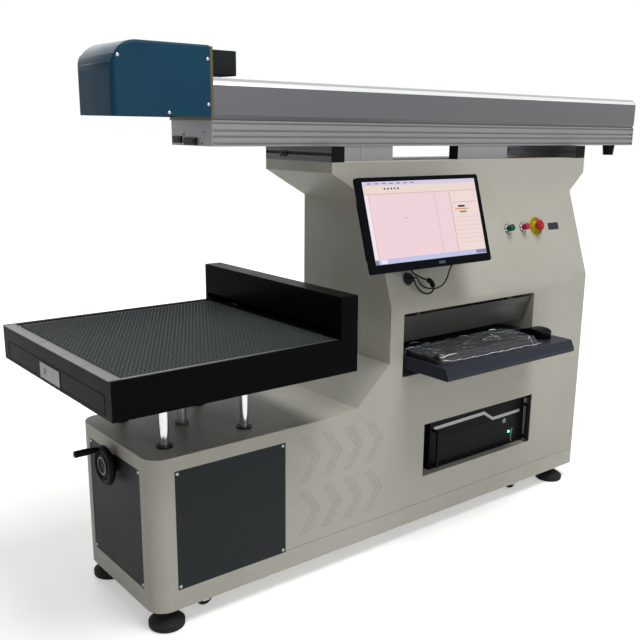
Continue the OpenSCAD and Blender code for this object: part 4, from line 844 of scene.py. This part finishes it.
# Pale tubes along the film's front edge and over some folds, in mm: painted highlights
glintPlan = {"start": 872, "row": 2, "lift": 0.6, "radius": (0.5, 1.5), "lumps": 40, "foldRadius": (0.4, 1.1)}
foldGlints = [
    [(861, -127, 633), (880, -128, 632), (905, -127, 635), (938, -126, 634)],
    [(884, 36, 620), (900, 30, 625), (922, 33, 622)], [(944, 84, 616), (962, 88, 620), (986, 80, 618)],
    [(1219, -2, 641), (1236, -3, 641), (1250, -6, 640)], [(1262, -128, 630), (1290, -112, 632), (1297, -92, 628)],
]


def filmFront(x):
    start, lean, corner, turn = filmPlan["front"]
    return start + lean * (x - corner) + turn * max(0, corner - x)


def filmHeight(x, y):
    # The film's height, and how sharp its fold is there
    x0, y0, x1, y1, top = filmPlan["keys"]
    sideways, forwards = filmPlan["fall"]
    share = max(0.0, 1 - math.hypot(max(x0 - x, 0, x - x1) / sideways, max(y0 - y, 0, y - y1) / forwards))
    share = share * share * (3 - 2 * share)
    wide, deep, layer = filmPlan["noise"]
    spot = Vector((x * wide, y * deep, layer))
    ridge = max(0.0, 1 - filmPlan["ridges"] * abs(noise.noise(spot)))
    finer, shift, most = filmPlan["small"]
    ridge = max(ridge, most - filmPlan["ridges"] * abs(noise.noise(spot * finer + Vector(shift))))
    finer, shift = filmPlan["soft"]
    soft = abs(noise.noise(spot * finer + Vector(shift)))
    under, over = filmPlan["gap"]
    height = filmPlan["tray"] + under + (top + over - filmPlan["tray"]) * share
    height += filmPlan["rise"] * (filmPlan["ridgeShare"] * ridge + soft)
    # Behind the front edge the tray slides in under the flap, so the film keeps below a ceiling there
    edge, ceiling = filmPlan["ceiling"]
    return (min(height, ceiling) if y > edge else height), ridge


def clearFilm():
    # Clear polyethylene: nearly invisible where it lies flat; along its folds it turns pale and glossy, partly as
    # folded film does and partly as a painted highlight
    film, tree, shader, place = startMaterial(
        "clearFilm", filmPlan["colour"], 0.0, 0.16, Specular_IOR_Level=0.6, Coat_Weight=1.0, Coat_Roughness=0.08)
    folds = addNode(tree, "ShaderNodeAttribute", {"attribute_name": "creaseGlint"})
    cloud = addNode(tree, "ShaderNodeTexNoise", {"Scale": 24.0, "Detail": 2.0}, {"Vector": place})
    patch = addNode(tree, "ShaderNodeMapRange", {"From Min": 0.46, "From Max": 0.64}, {"Value": cloud.outputs["Fac"]})
    sharp = addNode(tree, "ShaderNodeMapRange", {"From Min": 0.45, "From Max": 1.0}, {"Value": folds.outputs["Fac"]})
    both = addNode(tree, "ShaderNodeMath", {"operation": "MULTIPLY"})
    tree.links.new(patch.outputs["Result"], both.inputs[0])
    tree.links.new(sharp.outputs["Result"], both.inputs[1])
    alpha = addNode(tree, "ShaderNodeMapRange", {"To Min": filmPlan["clear"], "To Max": filmPlan["glintAlpha"]},
                    {"Value": both.outputs["Value"]})
    tree.links.new(alpha.outputs["Result"], shader.inputs["Alpha"])
    return film


def addFilm():
    nx, ny = filmPlan["across"]
    farLeft, farRight = filmPlan["back"]
    wander, slow, layer = filmPlan["wander"]
    left, right, fore = filmPlan["borders"]
    shape = bmesh.new()
    creaseGlint = shape.verts.layers.float.new("creaseGlint")
    grid = []
    for j in range(ny + 1):
        row = []
        for i in range(nx + 1):
            x = filmPlan["low"] + (filmPlan["high"] - filmPlan["low"]) * i / nx
            front = filmFront(x)
            back = farLeft + (farRight - farLeft) * i / nx
            y = front + (back - front) * j / ny
            x += wander * noise.noise(Vector((y * slow, 0, layer)))
            height, ridge = filmHeight(x, y)
            vert = shape.verts.new(at(x, y, height))
            vert[creaseGlint] = ridge * min(1.0, i / left, (nx - i) / right, j / fore)
            row.append(vert)
        grid.append(row)
    for low, high in zip(grid, grid[1:]):
        for i in range(nx):
            shape.faces.new((low[i], low[i + 1], high[i + 1], high[i]))
    first = next(i for i, vert in enumerate(grid[0]) if vert.co.x > at(glintPlan["start"], 0, 0).x)
    lift = Vector((0, 0, glintPlan["lift"] * mm))
    glintLine = [grid[glintPlan["row"]][i].co + lift for i in range(first, nx - 4, 3)]
    sheet = newPiece("keyboardFilm", shape, clearFilm(), bodyOf("keyboard_tray"), smoothAngle=60)
    shape = bmesh.new()
    thin, more = glintPlan["radius"]
    addTube(shape, glintLine, [(thin + more * abs(noise.noise(p * glintPlan["lumps"]))) * mm for p in glintLine], 6)
    thin, more = glintPlan["foldRadius"]
    for fold in foldGlints:
        path = spline([at(*p) for p in fold], 5)
        last = len(path) - 1
        addTube(shape, path, [(thin + more * math.sin(math.pi * i / last)) * mm for i in range(last + 1)], 6)
    # Pale glossy tubes: painted highlights along the film's front edge and folds
    glintTubes = newPiece("filmGlints", shape, mouldedPlastic("filmGlintPale", "#e4e7e9", 0.2, shine=0.6),
                      bodyOf("keyboard_tray"), smoothAngle=60)


addFilm()

# Slot nut on the left rail, and the handwheel's dished web with a dull metal ring round its hub, pale partly as its
# own metal and partly as a painted highlight
fixings = {
    "nut": (635.6, 312, 1189, 639.5, 346, 1206), "stud": (5, 3), "hub": 9,
    "web": [(17, -6), (24, -7.5), (33, -3), (42, 1)],
    "ring": [(20.5, -9), (22.3, -9.5), (24, -8.8), (23, -6), (20.5, -9)], "ringGlintColour": "#7b7f7f",
}


def addFixings():
    x0, y0, z0, x1, y1, z1 = fixings["nut"]
    radius, length = fixings["stud"]
    shape = bmesh.new()
    addBlock(shape, at(x0, y0, z0), at(x1, y1, z1))
    addRod(shape, at(x0, (y0 + y1) / 2, (z0 + z1) / 2), (-1, 0, 0), radius * mm, length * mm, 16)
    newPiece("railNut", shape, blackPlastic, bodyOf("gantry_rails"), bevel=1.2)
    low, high = span("handwheel")
    body = bodyOf("handwheel")
    middle = at(low.x + fixings["hub"], (low.y + high.y) / 2, (low.z + high.z) / 2)
    place = turnedPlace(middle, math.pi / 2, "Y")
    shape = bmesh.new()
    addTurned(shape, fixings["web"], place, 48)
    newPiece("wheelWeb", shape, bakelite, body, smoothAngle=60)
    shape = bmesh.new()
    addTurned(shape, fixings["ring"], place, 48)
    ringGlintMetal = drawnMetal("ringGlintMetal", fixings["ringGlintColour"], 0.4, metallic=0.4)
    newPiece("wheelGlintRing", shape, ringGlintMetal, body, smoothAngle=60)


addFixings()

# Cable fittings: the gland's ring and the thick sleeve on the video lead
fittings = {
    "gland": (869, 840), "ring": [(15.2, 0), (22, 0), (22, 2), (20, 3.2), (15.2, 3.2)],
    "sleeve": [(905, -25, 841), (918, -24, 836), (928, -21, 828), (936, -18.5, 818)],
    "sleeveRadius": 7.5, "sleeveEnds": 0.72,
}


def addFittings():
    shape = bmesh.new()
    addTurned(shape, fittings["ring"], slopePlace(*fittings["gland"]), 40)
    newPiece("glandRing", shape, mouldedPlastic("glandRing", "#8d8e8a", 0.4), "machine")
    shape = bmesh.new()
    path = spline([at(*p) for p in fittings["sleeve"]], 4)
    radii = [fittings["sleeveRadius"] * mm] * len(path)
    radii[0] = radii[-1] = radii[0] * fittings["sleeveEnds"]
    addTube(shape, path, radii, 16)
    newPiece("leadSleeve", shape, sleekPlastic, "machine", smoothAngle=50)


addFittings()
print("film and fittings made")

# Floor and lamps: within the nearer reach the floor keeps its own shade, past the further one it is white
stagePlan = {
    "floor": "#f4f4f2", "size": 14, "surround": 0.22, "lift": (0.4, 0.95), "reach": (1.5, 4.5),
    "lamps": [  # place mm, aimed-at mm, width m, watts
        ((1250, -1800, 5500), (900, 100, 600), 2.8, 222),
        ((700, -3900, 1500), (1000, 0, 700), 1.8, 26),
        ((400, 2600, 2800), (800, 200, 900), 2.2, 30),
    ],
}


def seenDirectly(tree):
    # One for rays from the camera and for those met in metal and glass, which show the pale background
    ray = addNode(tree, "ShaderNodeLightPath")
    seen = ray.outputs["Is Camera Ray"]
    for kind in ("Is Glossy Ray", "Is Transmission Ray"):
        either = addNode(tree, "ShaderNodeMath", {"operation": "MAXIMUM"})
        tree.links.new(seen, either.inputs[0])
        tree.links.new(ray.outputs[kind], either.inputs[1])
        seen = either.outputs["Value"]
    return seen


def joinSurfaces(tree, lighting, picture, output):
    # What lights the machine, and what is shown instead of it where the background is seen
    swap = addNode(tree, "ShaderNodeMixShader", {}, {"Fac": seenDirectly(tree)})
    tree.links.new(lighting, swap.inputs[1])
    tree.links.new(picture, swap.inputs[2])
    tree.links.new(swap.outputs["Shader"], tree.nodes[output].inputs["Surface"])


def addFloor():
    shape = bmesh.new()
    bmesh.ops.create_grid(shape, x_segments=1, y_segments=1, size=stagePlan["size"])
    mesh = bpy.data.meshes.new("studioFloor")
    shape.to_mesh(mesh)
    shape.free()
    floor = bpy.data.objects.new("studioFloor", mesh)
    scene.collection.objects.link(floor)
    material, tree, shader, place = startMaterial("studioFloor", stagePlan["floor"], 0.0, 0.9)
    # The floor fades to white with distance, as a studio sweep does, and keeps the shadow near the machine
    away = addNode(tree, "ShaderNodeVectorMath", {"operation": "LENGTH"})
    tree.links.new(place, away.inputs[0])
    fade = addNode(tree, "ShaderNodeMapRange", {
        "From Min": stagePlan["reach"][0], "From Max": stagePlan["reach"][1],
        "To Min": stagePlan["lift"][0], "To Max": stagePlan["lift"][1]}, {"Value": away.outputs["Value"]})
    pale = addNode(tree, "ShaderNodeEmission", {"Color": (1, 1, 1, 1)}, {"Strength": fade.outputs["Result"]})
    both = addNode(tree, "ShaderNodeAddShader")
    tree.links.new(shader.outputs["BSDF"], both.inputs[0])
    tree.links.new(pale.outputs["Emission"], both.inputs[1])
    joinSurfaces(tree, shader.outputs["BSDF"], both.outputs["Shader"], "Material Output")
    mesh.materials.append(material)


def addSurround():
    scene.world = bpy.data.worlds.new("studioWorld")
    scene.world.use_nodes = True
    sky = scene.world.node_tree
    base = sky.nodes["Background"]
    base.inputs["Color"].default_value = (1, 1, 1, 1)
    base.inputs["Strength"].default_value = stagePlan["surround"]
    bright = addNode(sky, "ShaderNodeBackground", {"Color": (1, 1, 1, 1), "Strength": 1.0})
    joinSurfaces(sky, base.outputs["Background"], bright.outputs["Background"], "World Output")


def addLamps():
    for spot, target, width, power in stagePlan["lamps"]:
        data = bpy.data.lights.new("softLamp", "AREA")
        data.shape, data.size, data.energy = "DISK", width, power
        lamp = bpy.data.objects.new("softLamp", data)
        scene.collection.objects.link(lamp)
        way = at(*target) - at(*spot)
        lamp.matrix_world = Matrix.Translation(at(*spot)) @ way.to_track_quat("-Z", "Y").to_matrix().to_4x4()


addFloor()
addSurround()
addLamps()
scene.view_settings.view_transform = "Standard"
print("stage lit")
